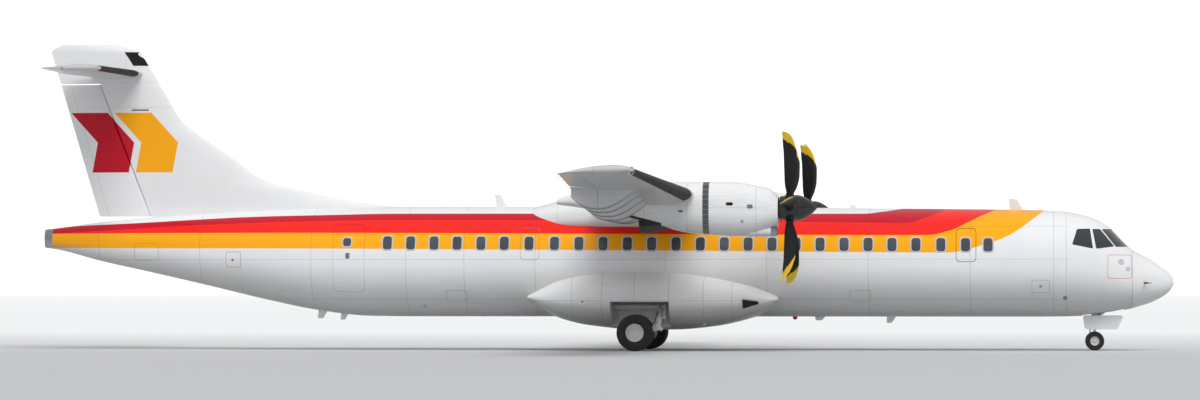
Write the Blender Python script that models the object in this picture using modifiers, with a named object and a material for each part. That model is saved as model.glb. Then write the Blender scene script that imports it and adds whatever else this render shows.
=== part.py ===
"""A twin-engined turboprop airliner with a high wing and a T-tail, standing on its gear.

Metres. +X runs forward to the nose, +Y to the left wing tip and +Z up. The origin is on
the ground, half way along the length and in the plane of symmetry. The right-hand side
of the aircraft is at -Y, and SIDES gives each side's name with the sign of its Y.
"""

import math

import bmesh
import bpy
from mathutils import Matrix, Vector

SIDES = (("right", -1), ("left", 1))
GAP = 0.0003
MOVING_GAP = 0.008
END_GAP = 0.035

# Fuselage
BELLY_Z = 0.80
HALF_WIDTH = 1.4325
RING_POINTS = 28
RING_POWER = 2.15
WIDEST = 0.50
DOOR_THICKNESS = 0.10
GLASS_THICKNESS = 0.05
TAIL_SEAM_X = -13.385
REAR_SEAM_X = -8.62
RADOME_SEAM_X = 12.60

# Wing
CHORD = 2.57
LEADING_X = 2.50
LEADING_Z = 3.61
TIP_CHORD = 1.59
TIP_LEADING_X = 1.87
TIP_LEADING_Z = 3.99
KINK_Y = 4.90
TIP_Y = 13.525
ROOT_THICKNESS = 0.18
TIP_THICKNESS = 0.13
CAMBER = 0.02
INCIDENCE = math.radians(2.0)
AIRFOIL_POINTS = 7
BOOT_SHARE = 0.07
BOOT_START_Y = 4.97
BOOT_END_Y = 13.25
FLAP_SHARE = 0.70
FLAP_PIVOT_DROP = 0.45
FLAPS = (("inner_flap", 1.50, 3.45), ("outer_flap", 4.67, 9.32))
FLAP_TRACKS = {"inner_flap": (1.85, 3.10), "outer_flap": (5.30, 6.60, 7.90, 9.10)}
AILERON_SHARE = 0.74
AILERON_SPAN = (9.39, 13.10)

# Engines and propellers
ENGINE_Y = 4.05
SHAFT_Z = 3.33
NACELLE_FRONT_X = 4.433
NACELLE_WALL = 0.05
ENGINE_X = (2.45, 3.93)
ENGINE_Z = 3.13
ENGINE_RADIUS = 0.29
PIPE_RADIUS = 0.15
PROP_X = 4.70
PROP_RADIUS = 1.965
BLADES = 6
HUB_RADIUS = 0.30
HUB_BACK_X = 4.470
HUB_FRONT_X = 4.860
SPINNER_TIP_X = 5.326
PROP_PHASE = {"right": math.radians(25.0), "left": math.radians(30.0)}

# Tail
FIN_TRAILING = ((-12.218, 3.081), (-13.469, 7.257))
RUDDER_HINGE = ((-11.077, 3.176), (-12.310, 6.403))
FIN_JOINT_Z = 6.43
FIN_TOP_Z = 7.375
FIN_THICKNESS = 0.32
FIN_TOP_THICKNESS = 0.22
TAIL_Z = 6.66
TAIL_HALF_SPAN = 3.655
TAIL_ROOT_LEADING_X = -11.19
TAIL_TIP_LEADING_X = -11.56
TAIL_ROOT_CHORD = 1.89
TAIL_TIP_CHORD = 1.40
TAIL_THICKNESS = 0.12
ELEVATOR_HINGE_X = -12.50
ELEVATOR_ROOT_Y = 0.24

# Landing gear
MAIN_X = 0.95
MAIN_Y = 2.05
MAIN_RADIUS = 0.43
MAIN_TYRE_WIDTH = 0.26
MAIN_TWIN = 0.20
MAIN_STEPS = 24
NOSE_X = 11.72
NOSE_RADIUS = 0.225
NOSE_TYRE_WIDTH = 0.17
NOSE_TWIN = 0.17
NOSE_STEPS = 20
WELL_X = (0.33, 1.72)
WELL_Y = (1.02, 2.40)
WELL_TOP_Z = 1.16
NOSE_WELL_X = (11.42, 12.42)
NOSE_WELL_HALF = 0.27
NOSE_WELL_TOP_Z = 1.25

MAIN_RIM = 0.215
MAIN_SHAFT_RADIUS = 0.045
LEG_TOP = (1.48, 1.20, 1.04)
LEG_KNEE = (1.48, 0.56)
LEG_RADIUS = 0.070
TRUNNION_RADIUS = 0.060
ARM_HALF_WIDTH = 0.045
ARM_KNEE_SIZE = 0.070
ARM_AXLE_SIZE = 0.055
ARM_LEAD = 0.05
MAIN_RING_RADIUS = 0.085
MAIN_BORE_RADIUS = 0.048
SHOCK_TOP = (1.62, 1.36, 1.07)
SHOCK_FOOT = (1.56, 0.50)
SHOCK_RADIUS = 0.045
LUG_END = (1.48, 1.28, 1.02)
LUG_RADIUS = 0.040
FOOT_RADIUS = 0.050
FOOT_LEAD = 0.02
NOSE_RIM = 0.11
NOSE_SHAFT_RADIUS = 0.028
NOSE_DOOR_Y = (0.275, 0.295)
NOSE_DOOR_Z = (0.50, 0.83)
NOSE_DOOR_INSET = 0.02
STRUT_FOOT_Z = 0.62
STRUT_RADIUS = 0.075
BRACE_FOOT_Z = 0.76
BRACE_TOP = (12.34, 1.20)
BRACE_RADIUS = 0.035
CROSS_RADIUS = 0.040
PISTON_TOP_Z = 0.615
PISTON_RADIUS = 0.042
NOSE_RING_RADIUS = 0.055
NOSE_RING_HALF = 0.045
NOSE_BORE_RADIUS = 0.031
BORE_REACH = 0.20

# Doors: name, (start x, end x, sill z, top z), side, gap, slope of the top edge, half width there
DOORS = (
    ("passenger_door", (-6.36, -5.60, 1.38, 3.00), 1, MOVING_GAP, 0.21, 0.95),
    ("cargo_door", (8.95, 10.225, 1.38, 2.91), 1, MOVING_GAP, 0.0, 1.12),
    ("service_door", (-6.36, -5.60, 1.40, 3.00), -1, 0.002, 0.0, 1.0),
)
DOOR_CORNER = 0.12
DOOR_RECESS_Y = 0.70
DOOR_REACH_Y = 2.00
WINDSCREEN = (11.16, 12.70, 2.41, 2.885)

# Fuselage sections: x, underside z, top z, half width
FUSELAGE_ROWS = (
    (-13.385, 2.430, 2.920, 0.20),
    (-12.200, 2.130, 3.080, 0.42),
    (-11.000, 1.865, 3.180, 0.62),
    (-9.600, 1.545, 3.285, 0.86),
    (-8.200, 1.215, 3.350, 1.09),
    (-6.900, 0.950, 3.395, 1.27),
    (-5.700, 0.815, 3.425, 1.39),
    (-4.600, BELLY_Z, 3.440, HALF_WIDTH),
    (-1.500, BELLY_Z, 3.435, HALF_WIDTH),
    (4.000, BELLY_Z, 3.405, HALF_WIDTH),
    (8.800, BELLY_Z, 3.360, HALF_WIDTH),
    (10.200, BELLY_Z, 3.340, 1.415),
    (10.900, 0.805, 3.315, 1.350),
    (11.400, 0.820, 3.235, 1.265),
    (11.850, 0.865, 3.075, 1.140),
    (12.100, 0.895, 2.905, 1.050),
    (12.330, 0.940, 2.670, 0.950),
    (RADOME_SEAM_X, 0.995, 2.400, 0.820),
    (12.800, 1.055, 2.290, 0.710),
    (13.030, 1.130, 2.165, 0.570),
    (13.270, 1.245, 2.000, 0.410),
    (13.500, 1.415, 1.815, 0.200),
    (13.583, 1.560, 1.700, 0.065),
)

# Belly fairing, which holds the main wheels: x, underside z, top z, half width
BELLY_ROWS = (
    (-1.685, 1.180, 1.340, 1.38),
    (-1.380, 0.950, 1.560, 1.56),
    (-0.930, 0.730, 1.800, 1.72),
    (-0.240, 0.580, 1.960, 1.86),
    (0.900, 0.485, 2.030, 1.94),
    (1.790, 0.490, 2.000, 1.94),
    (2.690, 0.570, 1.880, 1.86),
    (3.610, 0.780, 1.640, 1.68),
    (4.060, 0.970, 1.440, 1.53),
    (4.260, 1.140, 1.300, 1.40),
)

# Fairing round the wing's root: x, top z, half width
WING_FAIRING_ROWS = (
    (-2.100, 3.300, 0.55),
    (-1.400, 3.480, 0.95),
    (-0.550, 3.700, 1.22),
    (0.400, 3.850, 1.30),
    (1.500, 3.920, 1.32),
    (2.500, 3.880, 1.28),
    (3.100, 3.700, 1.10),
    (3.700, 3.400, 0.75),
)

# Nacelle sections: x, underside z, top z, half width
NACELLE_ROWS = (
    (-0.700, 3.420, 3.560, 0.12),
    (-0.100, 3.330, 3.720, 0.28),
    (0.750, 3.170, 3.880, 0.40),
    (1.750, 2.900, 3.935, 0.46),
    (2.350, 2.760, 3.935, 0.48),
    (2.830, 2.715, 3.935, 0.48),
    (3.430, 2.680, 3.930, 0.47),
    (3.930, 2.660, 3.850, 0.45),
    (4.240, 2.665, 3.770, 0.42),
    (NACELLE_FRONT_X, 2.740, 3.600, 0.36),
)

# Fin sections: z, leading edge x; the long low ones are the dorsal fin
FIN_ROWS = (
    (2.900, -4.700),
    (3.420, -4.950),
    (3.580, -6.140),
    (3.700, -6.730),
    (3.850, -7.330),
    (3.960, -7.900),
    (4.120, -8.290),
    (4.680, -9.080),
    (5.160, -9.800),
    (5.550, -10.270),
    (6.150, -10.640),
    (FIN_JOINT_Z, -10.810),
)
FIN_HEAD_ROWS = ((6.990, -11.145), (7.200, -11.290), (FIN_TOP_Z, -11.900))

# Propeller blade: share of the radius, chord, pitch in degrees, sweep, thickness share
BLADE_ROWS = (
    (0.110, 0.120, 88.0, 0.000, 0.90),
    (0.200, 0.150, 80.0, 0.000, 0.55),
    (0.320, 0.260, 72.0, 0.020, 0.18),
    (0.500, 0.330, 64.0, 0.045, 0.10),
    (0.680, 0.345, 58.0, 0.045, 0.08),
    (0.840, 0.300, 54.0, 0.000, 0.07),
    (0.950, 0.200, 51.0, -0.070, 0.06),
    (1.000, 0.070, 50.0, -0.135, 0.06),
)

# Colour, roughness and metallic value of each finish
LOOKS = {
    "white": ((0.86, 0.87, 0.88), 0.35, 0.0),
    "grey": ((0.62, 0.63, 0.65), 0.45, 0.0),
    "black_rubber": ((0.02, 0.02, 0.02), 0.70, 0.0),
    "blade_black": ((0.03, 0.03, 0.03), 0.45, 0.0),
    "steel": ((0.55, 0.56, 0.58), 0.35, 1.0),
    "gear_grey": ((0.72, 0.73, 0.74), 0.45, 0.0),
    "glass": ((0.03, 0.04, 0.05), 0.10, 0.0),
}


def remove_everything():
    for thing in list(bpy.data.objects):
        bpy.data.objects.remove(thing, do_unlink=True)


def collection(name):
    made = bpy.data.collections.new(name)
    bpy.context.scene.collection.children.link(made)
    return made


def finish_of(name, look):
    colour, roughness, metallic = LOOKS[look]
    material = bpy.data.materials.new(name)
    material.use_nodes = True
    shader = material.node_tree.nodes["Principled BSDF"]
    shader.inputs["Base Color"].default_value = (*colour, 1.0)
    shader.inputs["Roughness"].default_value = roughness
    shader.inputs["Metallic"].default_value = metallic
    return material


def place(name, mesh, look=None):
    """Link a mesh as a part when it has a look, and as a hidden cutter when it has none."""
    thing = bpy.data.objects.new(name, mesh)
    if look:
        PARTS.objects.link(thing)
        mesh.materials.clear()
        mesh.materials.append(finish_of(name, look))
    else:
        CUTTERS.objects.link(thing)
        thing.hide_render = True
        thing.display_type = "WIRE"
    return thing


def finished_mesh(name, work):
    bmesh.ops.recalc_face_normals(work, faces=work.faces)
    mesh = bpy.data.meshes.new(name)
    work.to_mesh(mesh)
    work.free()
    mesh.shade_smooth()
    mesh.set_sharp_from_angle(angle=math.radians(35.0))
    return mesh


def loft(name, rings, look=None):
    """Skin a row of rings that have equal numbers of points, and close both ends."""
    work = bmesh.new()
    rows = [[work.verts.new(point) for point in ring] for ring in rings]
    count = len(rows[0])
    for near, far in zip(rows, rows[1:]):
        for i in range(count):
            j = (i + 1) % count
            work.faces.new((near[i], near[j], far[j], far[i]))
    bmesh.ops.triangulate(work, faces=work.faces, quad_method="FIXED")
    work.faces.new(reversed(rows[0]))
    work.faces.new(rows[-1])
    return place(name, finished_mesh(name, work), look)


def box(name, low, high, look=None):
    """An upright box between two opposite corners."""
    size = Vector(high) - Vector(low)
    centre = (Vector(high) + Vector(low)) / 2
    work = bmesh.new()
    bmesh.ops.create_cube(work, size=1.0, matrix=Matrix.Translation(centre) @ Matrix.Diagonal((*size, 1.0)))
    return place(name, finished_mesh(name, work), look)


def cylinder(name, start, end, radius, look=None, sides=12, end_radius=None):
    """A round bar or a cone from one point to another."""
    start, end = Vector(start), Vector(end)
    run = end - start
    turn = run.to_track_quat("Z", "Y").to_matrix().to_4x4()
    work = bmesh.new()
    bmesh.ops.create_cone(
        work,
        cap_ends=True,
        segments=sides,
        radius1=radius,
        radius2=radius if end_radius is None else end_radius,
        depth=run.length,
        matrix=Matrix.Translation((start + end) / 2) @ turn,
    )
    return place(name, finished_mesh(name, work), look)


def turned(name, profile, steps, matrix, look=None, closed=False):
    """Spin a profile of (radius, height) points about its own Z axis with a Screw."""
    count = len(profile)
    edges = [(i, i + 1) for i in range(count - 1)]
    if closed:
        edges.append((count - 1, 0))
    mesh = bpy.data.meshes.new(name)
    mesh.from_pydata([(radius, 0.0, height) for radius, height in profile], edges, [])
    thing = place(name, mesh, look)
    screw = thing.modifiers.new("turn", "SCREW")
    screw.steps = screw.render_steps = steps
    screw.use_merge_vertices = True
    screw.merge_threshold = 0.0001
    screw.use_smooth_shade = True
    thing.matrix_world = matrix
    return thing


def combine(thing, tool, operation):
    step = thing.modifiers.new(operation.lower(), "BOOLEAN")
    step.operation = operation
    step.object = tool
    step.solver = "EXACT"
    return thing


def superellipse(low, high, half, power, points, offset=0.0, widest=WIDEST):
    """Points (y, z) of a closed section that is widest part of the way up."""
    middle = low + widest * (high - low)
    section = []
    for i in range(points):
        angle = 2 * math.pi * i / points
        across = math.copysign(abs(math.cos(angle)) ** (2 / power), math.cos(angle))
        upward = math.copysign(abs(math.sin(angle)) ** (2 / power), math.sin(angle))
        reach = high - middle if upward > 0 else middle - low
        section.append(((half + offset) * across, middle + (reach + offset) * upward))
    return section


def body_rings(rows, offset=0.0, power=RING_POWER, points=RING_POINTS, centre_y=0.0):
    return [
        [(x, centre_y + y, z) for y, z in superellipse(low, high, half, power, points, offset)]
        for x, low, high, half in rows
    ]


def fuselage_rows(first_x, last_x):
    """The rows between two stations, which are themselves rows of the table."""
    return [row for row in FUSELAGE_ROWS if first_x <= row[0] <= last_x]


def fuselage_skin(name, offset=0.0, look=None):
    return loft(name, body_rings(fuselage_rows(TAIL_SEAM_X, RADOME_SEAM_X), offset), look)


def rounded_prism(name, outline, side, grow, slope, level_y):
    """A prism along Y over a rounded rectangle, whose top edge may rise outwards."""
    x0, x1, z0, z1 = outline
    x0, x1, z0, z1 = x0 - grow, x1 + grow, z0 - grow, z1 + grow
    corner = DOOR_CORNER
    middle_z = (z0 + z1) / 2
    points = []
    for centre_x, centre_z, first in (
        (x1 - corner, z1 - corner, 0),
        (x0 + corner, z1 - corner, 90),
        (x0 + corner, z0 + corner, 180),
        (x1 - corner, z0 + corner, 270),
    ):
        for step in range(4):
            angle = math.radians(first + 30 * step)
            points.append((centre_x + corner * math.cos(angle), centre_z + corner * math.sin(angle)))
    rings = []
    for y in (DOOR_RECESS_Y, DOOR_REACH_Y):
        rise = slope * (y - level_y)
        rings.append([(x, y * side, z + rise if z > middle_z else z) for x, z in points])
    return loft(name, rings)


def door(name, outline, side, gap, slope, level_y):
    """A door cut out of the fuselage's own skin; returns the cutter for the recess behind it."""
    panel = fuselage_skin(name, 0.0, "white")
    shape = rounded_prism(name + "_outline", outline, side, 0.0, slope, level_y)
    combine(panel, shape, "INTERSECT")
    combine(panel, fuselage_skin(name + "_back", -DOOR_THICKNESS), "DIFFERENCE")
    return rounded_prism(name + "_opening", outline, side, gap, slope, level_y)


def fuselage_parts():
    body = fuselage_skin("fuselage", 0.0, "white")
    for row in DOORS:
        combine(body, door(*row), "DIFFERENCE")

    x0, x1, z0, z1 = WINDSCREEN
    glass = fuselage_skin("windscreen_band", 0.0, "glass")
    combine(glass, box("windscreen_box", (x0, -2, z0), (x1, 2, z1)), "INTERSECT")
    combine(glass, fuselage_skin("windscreen_back", -GLASS_THICKNESS), "DIFFERENCE")
    seat = box("windscreen_seat", (x0 - GAP, -2, z0 - GAP), (x1, 2, z1 + GAP))
    combine(seat, fuselage_skin("windscreen_floor", -GLASS_THICKNESS - GAP), "DIFFERENCE")
    combine(body, seat, "DIFFERENCE")

    well = box(
        "nose_well",
        (NOSE_WELL_X[0], -NOSE_WELL_HALF, 0.3),
        (NOSE_WELL_X[1], NOSE_WELL_HALF, NOSE_WELL_TOP_Z),
    )
    combine(body, well, "DIFFERENCE")
    combine(body, wing_centre("wing_seat", GAP), "DIFFERENCE")
    pad = cylinder("nose_jack_pad", (10.6, 0, BELLY_Z - 0.02), (10.6, 0, BELLY_Z + 0.1), 0.05)
    combine(body, pad, "UNION")

    rear = fuselage_skin("rear_fuselage", 0.0, "white")
    behind = box("behind_seam", (TAIL_SEAM_X - 1, -2, 0), (REAR_SEAM_X, 2, 4))
    combine(rear, behind, "INTERSECT")
    combine(body, box("body_seam", (TAIL_SEAM_X - 1, -2, 0), (REAR_SEAM_X + GAP, 2, 4)), "DIFFERENCE")

    radome_rows = [(RADOME_SEAM_X + GAP, *FUSELAGE_ROWS[17][1:]), *FUSELAGE_ROWS[18:]]
    loft("radome", body_rings(radome_rows), "white")
    cone_rows = (
        (-13.583, 2.455, 2.900, 0.175),
        (TAIL_SEAM_X - GAP, *FUSELAGE_ROWS[0][1:]),
    )
    loft("tail_cone", body_rings(cone_rows), "steel")


def belly_fairing():
    fairing = loft("belly_fairing", body_rings(BELLY_ROWS, power=2.5), "white")
    combine(fairing, fuselage_skin("belly_seat", GAP), "DIFFERENCE")
    for name, side in SIDES:
        low, high = sorted((WELL_Y[0] * side, WELL_Y[1] * side))
        well = box("main_well_" + name, (WELL_X[0], low, 0.2), (WELL_X[1], high, WELL_TOP_Z))
        combine(fairing, well, "DIFFERENCE")
        pad = cylinder("jack_pad_" + name, (2.5, 1.1 * side, 0.60), (2.5, 1.1 * side, 0.75), 0.05)
        combine(fairing, pad, "UNION")


def wing_section(y):
    """Leading edge x and z, chord and thickness share at a distance from the centre."""
    share = max(0.0, (y - KINK_Y) / (TIP_Y - KINK_Y))

    def between(root, tip):
        return root + (tip - root) * share

    return (
        between(LEADING_X, TIP_LEADING_X),
        between(LEADING_Z, TIP_LEADING_Z),
        between(CHORD, TIP_CHORD),
        between(ROOT_THICKNESS, TIP_THICKNESS),
    )


def half_thickness(share, thickness):
    """The four-digit series thickness form with a closed trailing edge."""
    form = 0.2969 * math.sqrt(share) - 0.1260 * share - 0.3516 * share**2
    form += 0.2843 * share**3 - 0.1036 * share**4
    return 5 * thickness * form


def airfoil(first, last, chord, thickness, camber=0.0, grow=0.0):
    """Points (distance aft, height) of the part of an airfoil between two chord shares."""
    first = max(first, 0.0006)
    shares = []
    for i in range(AIRFOIL_POINTS):
        spread = i / (AIRFOIL_POINTS - 1)
        bunch = 1 - math.cos(spread * math.pi / 2) if first < 0.01 else spread
        shares.append(first + (last - first) * bunch)
    upper, lower = [], []
    for share in shares:
        half = chord * half_thickness(share, thickness) + 0.002 + grow
        rise = chord * camber * (1 - (2 * share - 0.8) ** 2)
        aft = chord * share
        if share == shares[0]:
            aft -= grow
        if share == shares[-1]:
            aft += grow
        upper.append((aft, rise + half))
        lower.append((aft, rise - half))
    return upper[::-1] + lower


def wing_point(y, side, aft, height):
    """Turn a point of a wing section by the incidence and put it in the aircraft."""
    lead_x, lead_z, _, _ = wing_section(y)
    x = lead_x - aft * math.cos(INCIDENCE) + height * math.sin(INCIDENCE)
    z = lead_z - aft * math.sin(INCIDENCE) + height * math.cos(INCIDENCE)
    return (x, y * side, z)


def wing_ring(y, side, first, last, grow=0.0, shrink=1.0):
    _, _, chord, thickness = wing_section(y)
    ring = airfoil(first, last, chord, thickness * shrink, CAMBER, grow)
    return [wing_point(y, side, aft, height) for aft, height in ring]


def wing_centre(name, grow=0.0, look=None):
    """The straight middle of the wing, full in chord at the body and at the nacelles."""
    stations = (
        (0.0, 1.0),
        (FLAPS[0][1] - END_GAP - 0.01, 1.0),
        (FLAPS[0][1] - END_GAP, FLAP_SHARE),
        (FLAPS[0][2] + END_GAP, FLAP_SHARE),
        (FLAPS[0][2] + END_GAP + 0.01, 1.0),
        (FLAPS[1][1] - END_GAP - 0.01, 1.0),
        (FLAPS[1][1] - END_GAP, FLAP_SHARE),
        (KINK_Y, FLAP_SHARE),
    )
    rings = [wing_ring(y, -1, 0.0, last, grow) for y, last in reversed(stations)]
    rings += [wing_ring(y, 1, 0.0, last, grow) for y, last in stations[1:]]
    return loft(name, rings, look)


def aileron_front(y):
    """Chord share where the wing ends ahead of the aileron's round nose."""
    _, _, chord, thickness = wing_section(y)
    return AILERON_SHARE - half_thickness(AILERON_SHARE, thickness) - 2 * MOVING_GAP / chord


def outer_wing(name, side):
    """One outer wing, less its boot, flap and aileron."""
    stations = (
        (KINK_Y + GAP, 0.0, FLAP_SHARE),
        (BOOT_START_Y - 0.005, 0.0, FLAP_SHARE),
        (BOOT_START_Y, BOOT_SHARE, FLAP_SHARE),
        (FLAPS[1][2] + END_GAP - 0.01, BOOT_SHARE, FLAP_SHARE),
        (FLAPS[1][2] + END_GAP, BOOT_SHARE, aileron_front(FLAPS[1][2])),
        (AILERON_SPAN[1] + END_GAP, BOOT_SHARE, aileron_front(AILERON_SPAN[1])),
        (AILERON_SPAN[1] + END_GAP + 0.01, BOOT_SHARE, 1.0),
        (BOOT_END_Y, BOOT_SHARE, 1.0),
        (BOOT_END_Y + 0.005, 0.0, 1.0),
        (TIP_Y - 0.12, 0.0, 1.0),
    )
    rings = [wing_ring(y, side, first, last) for y, first, last in stations]
    rings.append(wing_ring(TIP_Y - 0.04, side, 0.02, 0.99, shrink=0.75))
    rings.append(wing_ring(TIP_Y, side, 0.06, 0.97, shrink=0.35))
    wing = loft("wing_" + name, rings, "grey")
    for y in FLAP_TRACKS["outer_flap"]:
        combine(wing, track_front(y, side, name), "UNION")

    boot = [
        wing_ring(y, side, 0.0, BOOT_SHARE - GAP / CHORD)
        for y in (BOOT_START_Y + GAP, BOOT_END_Y - GAP)
    ]
    loft("wing_boot_" + name, boot, "black_rubber")


def flap_pivot(y, side):
    """A point of the flap's hinge line, below the wing's lower skin."""
    _, _, chord, thickness = wing_section(y)
    _, low = airfoil(FLAP_SHARE, 1.0, chord, thickness, CAMBER)[AIRFOIL_POINTS]
    return Vector(wing_point(y, side, chord * FLAP_SHARE, low)) - Vector((0, 0, FLAP_PIVOT_DROP))


def track_rings(y, side, rows):
    """Rings of a flap-track fairing; each row is x from the pivot, drop, top, half width."""
    pivot = flap_pivot(y, side)
    rings = []
    for ahead, drop, top, half in rows:
        ring = []
        for i in range(6):
            angle = math.pi * i / 5
            ring.append(
                (
                    pivot.x + ahead,
                    y * side + half * math.cos(angle),
                    pivot.z + drop + (top - drop) * (1 - math.sin(angle)) * 0.999,
                )
            )
        rings.append(ring)
    return rings


def track_front(y, side, name):
    top = FLAP_PIVOT_DROP + 0.05
    rows = (
        (0.85, FLAP_PIVOT_DROP - 0.01, top, 0.03),
        (0.55, 0.20, top, 0.07),
        (0.25, 0.04, top, 0.08),
        (MOVING_GAP / 2, 0.0, top, 0.08),
    )
    return loft("track_%s_%d" % (name, round(100 * y)), track_rings(y, side, rows))


def track_rear(y, side, name):
    top = FLAP_PIVOT_DROP + 0.04
    rows = (
        (-MOVING_GAP / 2, 0.0, top, 0.08),
        (-0.30, 0.05, top, 0.075),
        (-0.60, 0.27, top, 0.035),
    )
    return loft("track_rear_%s_%d" % (name, round(100 * y)), track_rings(y, side, rows))


def flaps(name, side):
    share = FLAP_SHARE + MOVING_GAP / CHORD
    for kind, inner, outer in FLAPS:
        stations = (inner, KINK_Y, outer) if inner < KINK_Y < outer else (inner, outer)
        rings = [wing_ring(y, side, share, 1.0) for y in stations]
        flap = loft("%s_%s" % (kind, name), rings, "grey")
        for y in FLAP_TRACKS[kind]:
            combine(flap, track_rear(y, side, name), "UNION")


def hinged_ring(nose, tail, half, tail_half=0.004, points=5):
    """Points (aft, height) of a control surface whose round nose is centred on its hinge."""
    ring = [(tail, tail_half)]
    for i in range(points):
        angle = math.radians(80 - 160 * i / (points - 1))
        ring.append((nose - half * math.cos(angle), half * math.sin(angle)))
    ring.append((tail, -tail_half))
    return ring


def ailerons(name, side):
    rings = []
    for y in AILERON_SPAN:
        _, _, chord, thickness = wing_section(y)
        hinge = chord * AILERON_SHARE
        half = chord * half_thickness(AILERON_SHARE, thickness)
        rise = chord * CAMBER * (1 - (2 * AILERON_SHARE - 0.8) ** 2)
        ring = hinged_ring(hinge, chord, half)
        rings.append(
            [
                wing_point(y, side, aft, height + rise * (chord - aft) / (chord - hinge))
                for aft, height in ring
            ]
        )
    loft("aileron_" + name, rings, "grey")


def inner_wing():
    centre = wing_centre("wing_centre", look="grey")
    for name, side in SIDES:
        for y in FLAP_TRACKS["inner_flap"]:
            combine(centre, track_front(y, side, name), "UNION")


def wing_fairing():
    rows = [(x, 2.70, top, half) for x, top, half in WING_FAIRING_ROWS]
    fairing = loft("wing_fairing", body_rings(rows, power=2.6, points=20), "white")
    combine(fairing, fuselage_skin("fairing_seat", GAP), "DIFFERENCE")
    combine(fairing, wing_centre("fairing_slot", 2 * GAP), "DIFFERENCE")


def nacelle(name, side):
    centre_y = ENGINE_Y * side
    rings = body_rings(NACELLE_ROWS, power=2.4, points=20, centre_y=centre_y)
    cowl = loft("nacelle_" + name, rings, "white")
    inside_rows = [
        (x, low, high, half) for x, low, high, half in NACELLE_ROWS if 2.3 <= x <= 4.3
    ]
    inside_rows = [(1.95, 2.90, 3.935, 0.47), *inside_rows]
    inside = loft(
        "engine_bay_" + name,
        body_rings(inside_rows, -NACELLE_WALL, power=2.4, points=20, centre_y=centre_y),
    )
    combine(cowl, inside, "DIFFERENCE")
    front = cylinder(
        "shaft_hole_" + name,
        (4.1, centre_y, SHAFT_Z),
        (4.6, centre_y, SHAFT_Z),
        0.16,
    )
    combine(cowl, front, "DIFFERENCE")
    intake = box(
        "intake_" + name,
        (4.1, centre_y - 0.20, 2.80),
        (4.6, centre_y + 0.20, 2.98),
    )
    combine(cowl, intake, "DIFFERENCE")
    pipe_start = Vector((2.60, centre_y, ENGINE_Z))
    pipe_end = Vector((1.22, centre_y, ENGINE_Z - 0.23))
    hole_end = pipe_end + (pipe_end - pipe_start) * 0.3
    hole = cylinder("exhaust_hole_" + name, pipe_start, hole_end, PIPE_RADIUS + 0.02)
    combine(cowl, hole, "DIFFERENCE")
    combine(cowl, wing_centre("wing_slot_" + name, 2 * GAP), "DIFFERENCE")

    engine = cylinder(
        "engine_" + name,
        (ENGINE_X[0], centre_y, ENGINE_Z),
        (ENGINE_X[1], centre_y, ENGINE_Z),
        ENGINE_RADIUS,
        "steel",
    )
    pipe = cylinder("exhaust_" + name, pipe_start, pipe_end, PIPE_RADIUS)
    combine(engine, pipe, "UNION")


def blade_ring(share, chord, pitch, sweep, thickness):
    """A blade section at a share of the radius, for a blade that points up."""
    angle = math.radians(pitch)
    forward = Vector((math.sin(angle), math.cos(angle), 0))
    across = Vector((math.cos(angle), -math.sin(angle), 0))
    radius = PROP_RADIUS * share
    ring = []
    for i in range(6):
        turn = 2 * math.pi * i / 6
        along = forward * (chord / 2 * math.cos(turn) + sweep)
        thick = across * (chord * thickness / 2 * math.sin(turn))
        ring.append(along + thick + Vector((0, 0, radius)))
    return ring


def propeller(name, side):
    """Hub drum with its blades, the shaft behind it, and the spinner in front."""
    centre = Vector((0.0, ENGINE_Y * side, SHAFT_Z))
    hub = cylinder(
        "propeller_" + name,
        centre + Vector((HUB_BACK_X, 0, 0)),
        centre + Vector((HUB_FRONT_X, 0, 0)),
        HUB_RADIUS - 0.03,
        "blade_black",
        sides=30,
        end_radius=HUB_RADIUS,
    )
    for number in range(BLADES):
        turn = 2 * math.pi * number / BLADES - PROP_PHASE[name] * side
        spin = Matrix.Rotation(turn, 4, "X")
        spot = Matrix.Translation(centre + Vector((PROP_X, 0, 0)))
        rings = [[spot @ spin @ point for point in blade_ring(*row)] for row in BLADE_ROWS]
        combine(hub, loft("blade_%s_%d" % (name, number), rings), "UNION")
    shaft = cylinder(
        "shaft_" + name,
        centre + Vector((3.96, 0, 0)),
        centre + Vector((HUB_BACK_X + 0.02, 0, 0)),
        0.10,
    )
    combine(hub, shaft, "UNION")

    length = SPINNER_TIP_X - HUB_FRONT_X - GAP
    profile = []
    for step in range(8):
        angle = math.pi / 2 * step / 7
        profile.append((HUB_RADIUS * math.sin(angle) ** 0.8, length * math.cos(angle)))
    profile[0] = (0.0, length)
    profile.append((0.0, 0.0))
    base = centre + Vector((HUB_FRONT_X + GAP, 0, 0))
    matrix = Matrix.Translation(base) @ Matrix.Rotation(math.pi / 2, 4, "Y")
    turned("spinner_" + name, profile, 24, matrix, "blade_black")


def line_x(line, z):
    (x0, z0), (x1, z1) = line
    return x0 + (x1 - x0) * (z - z0) / (z1 - z0)


def fin_half(z):
    share = (z - 3.1) / (FIN_TOP_Z - 3.1)
    return (FIN_THICKNESS + (FIN_TOP_THICKNESS - FIN_THICKNESS) * share) / 2


def fin_ring(z, lead_x, tail_x, grow=0.0):
    """A level section of the fin, from its leading edge to a point short of its tail."""
    full = lead_x - line_x(FIN_TRAILING, z)
    last = (lead_x - tail_x) / full
    ring = airfoil(0.0, last, full, 2 * fin_half(z) / full, 0.0, grow)
    return [(lead_x - aft, height, z) for aft, height in ring]


def rudder_half(z):
    """Half the rudder's thickness at its hinge."""
    return 0.62 * fin_half(z)


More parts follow.
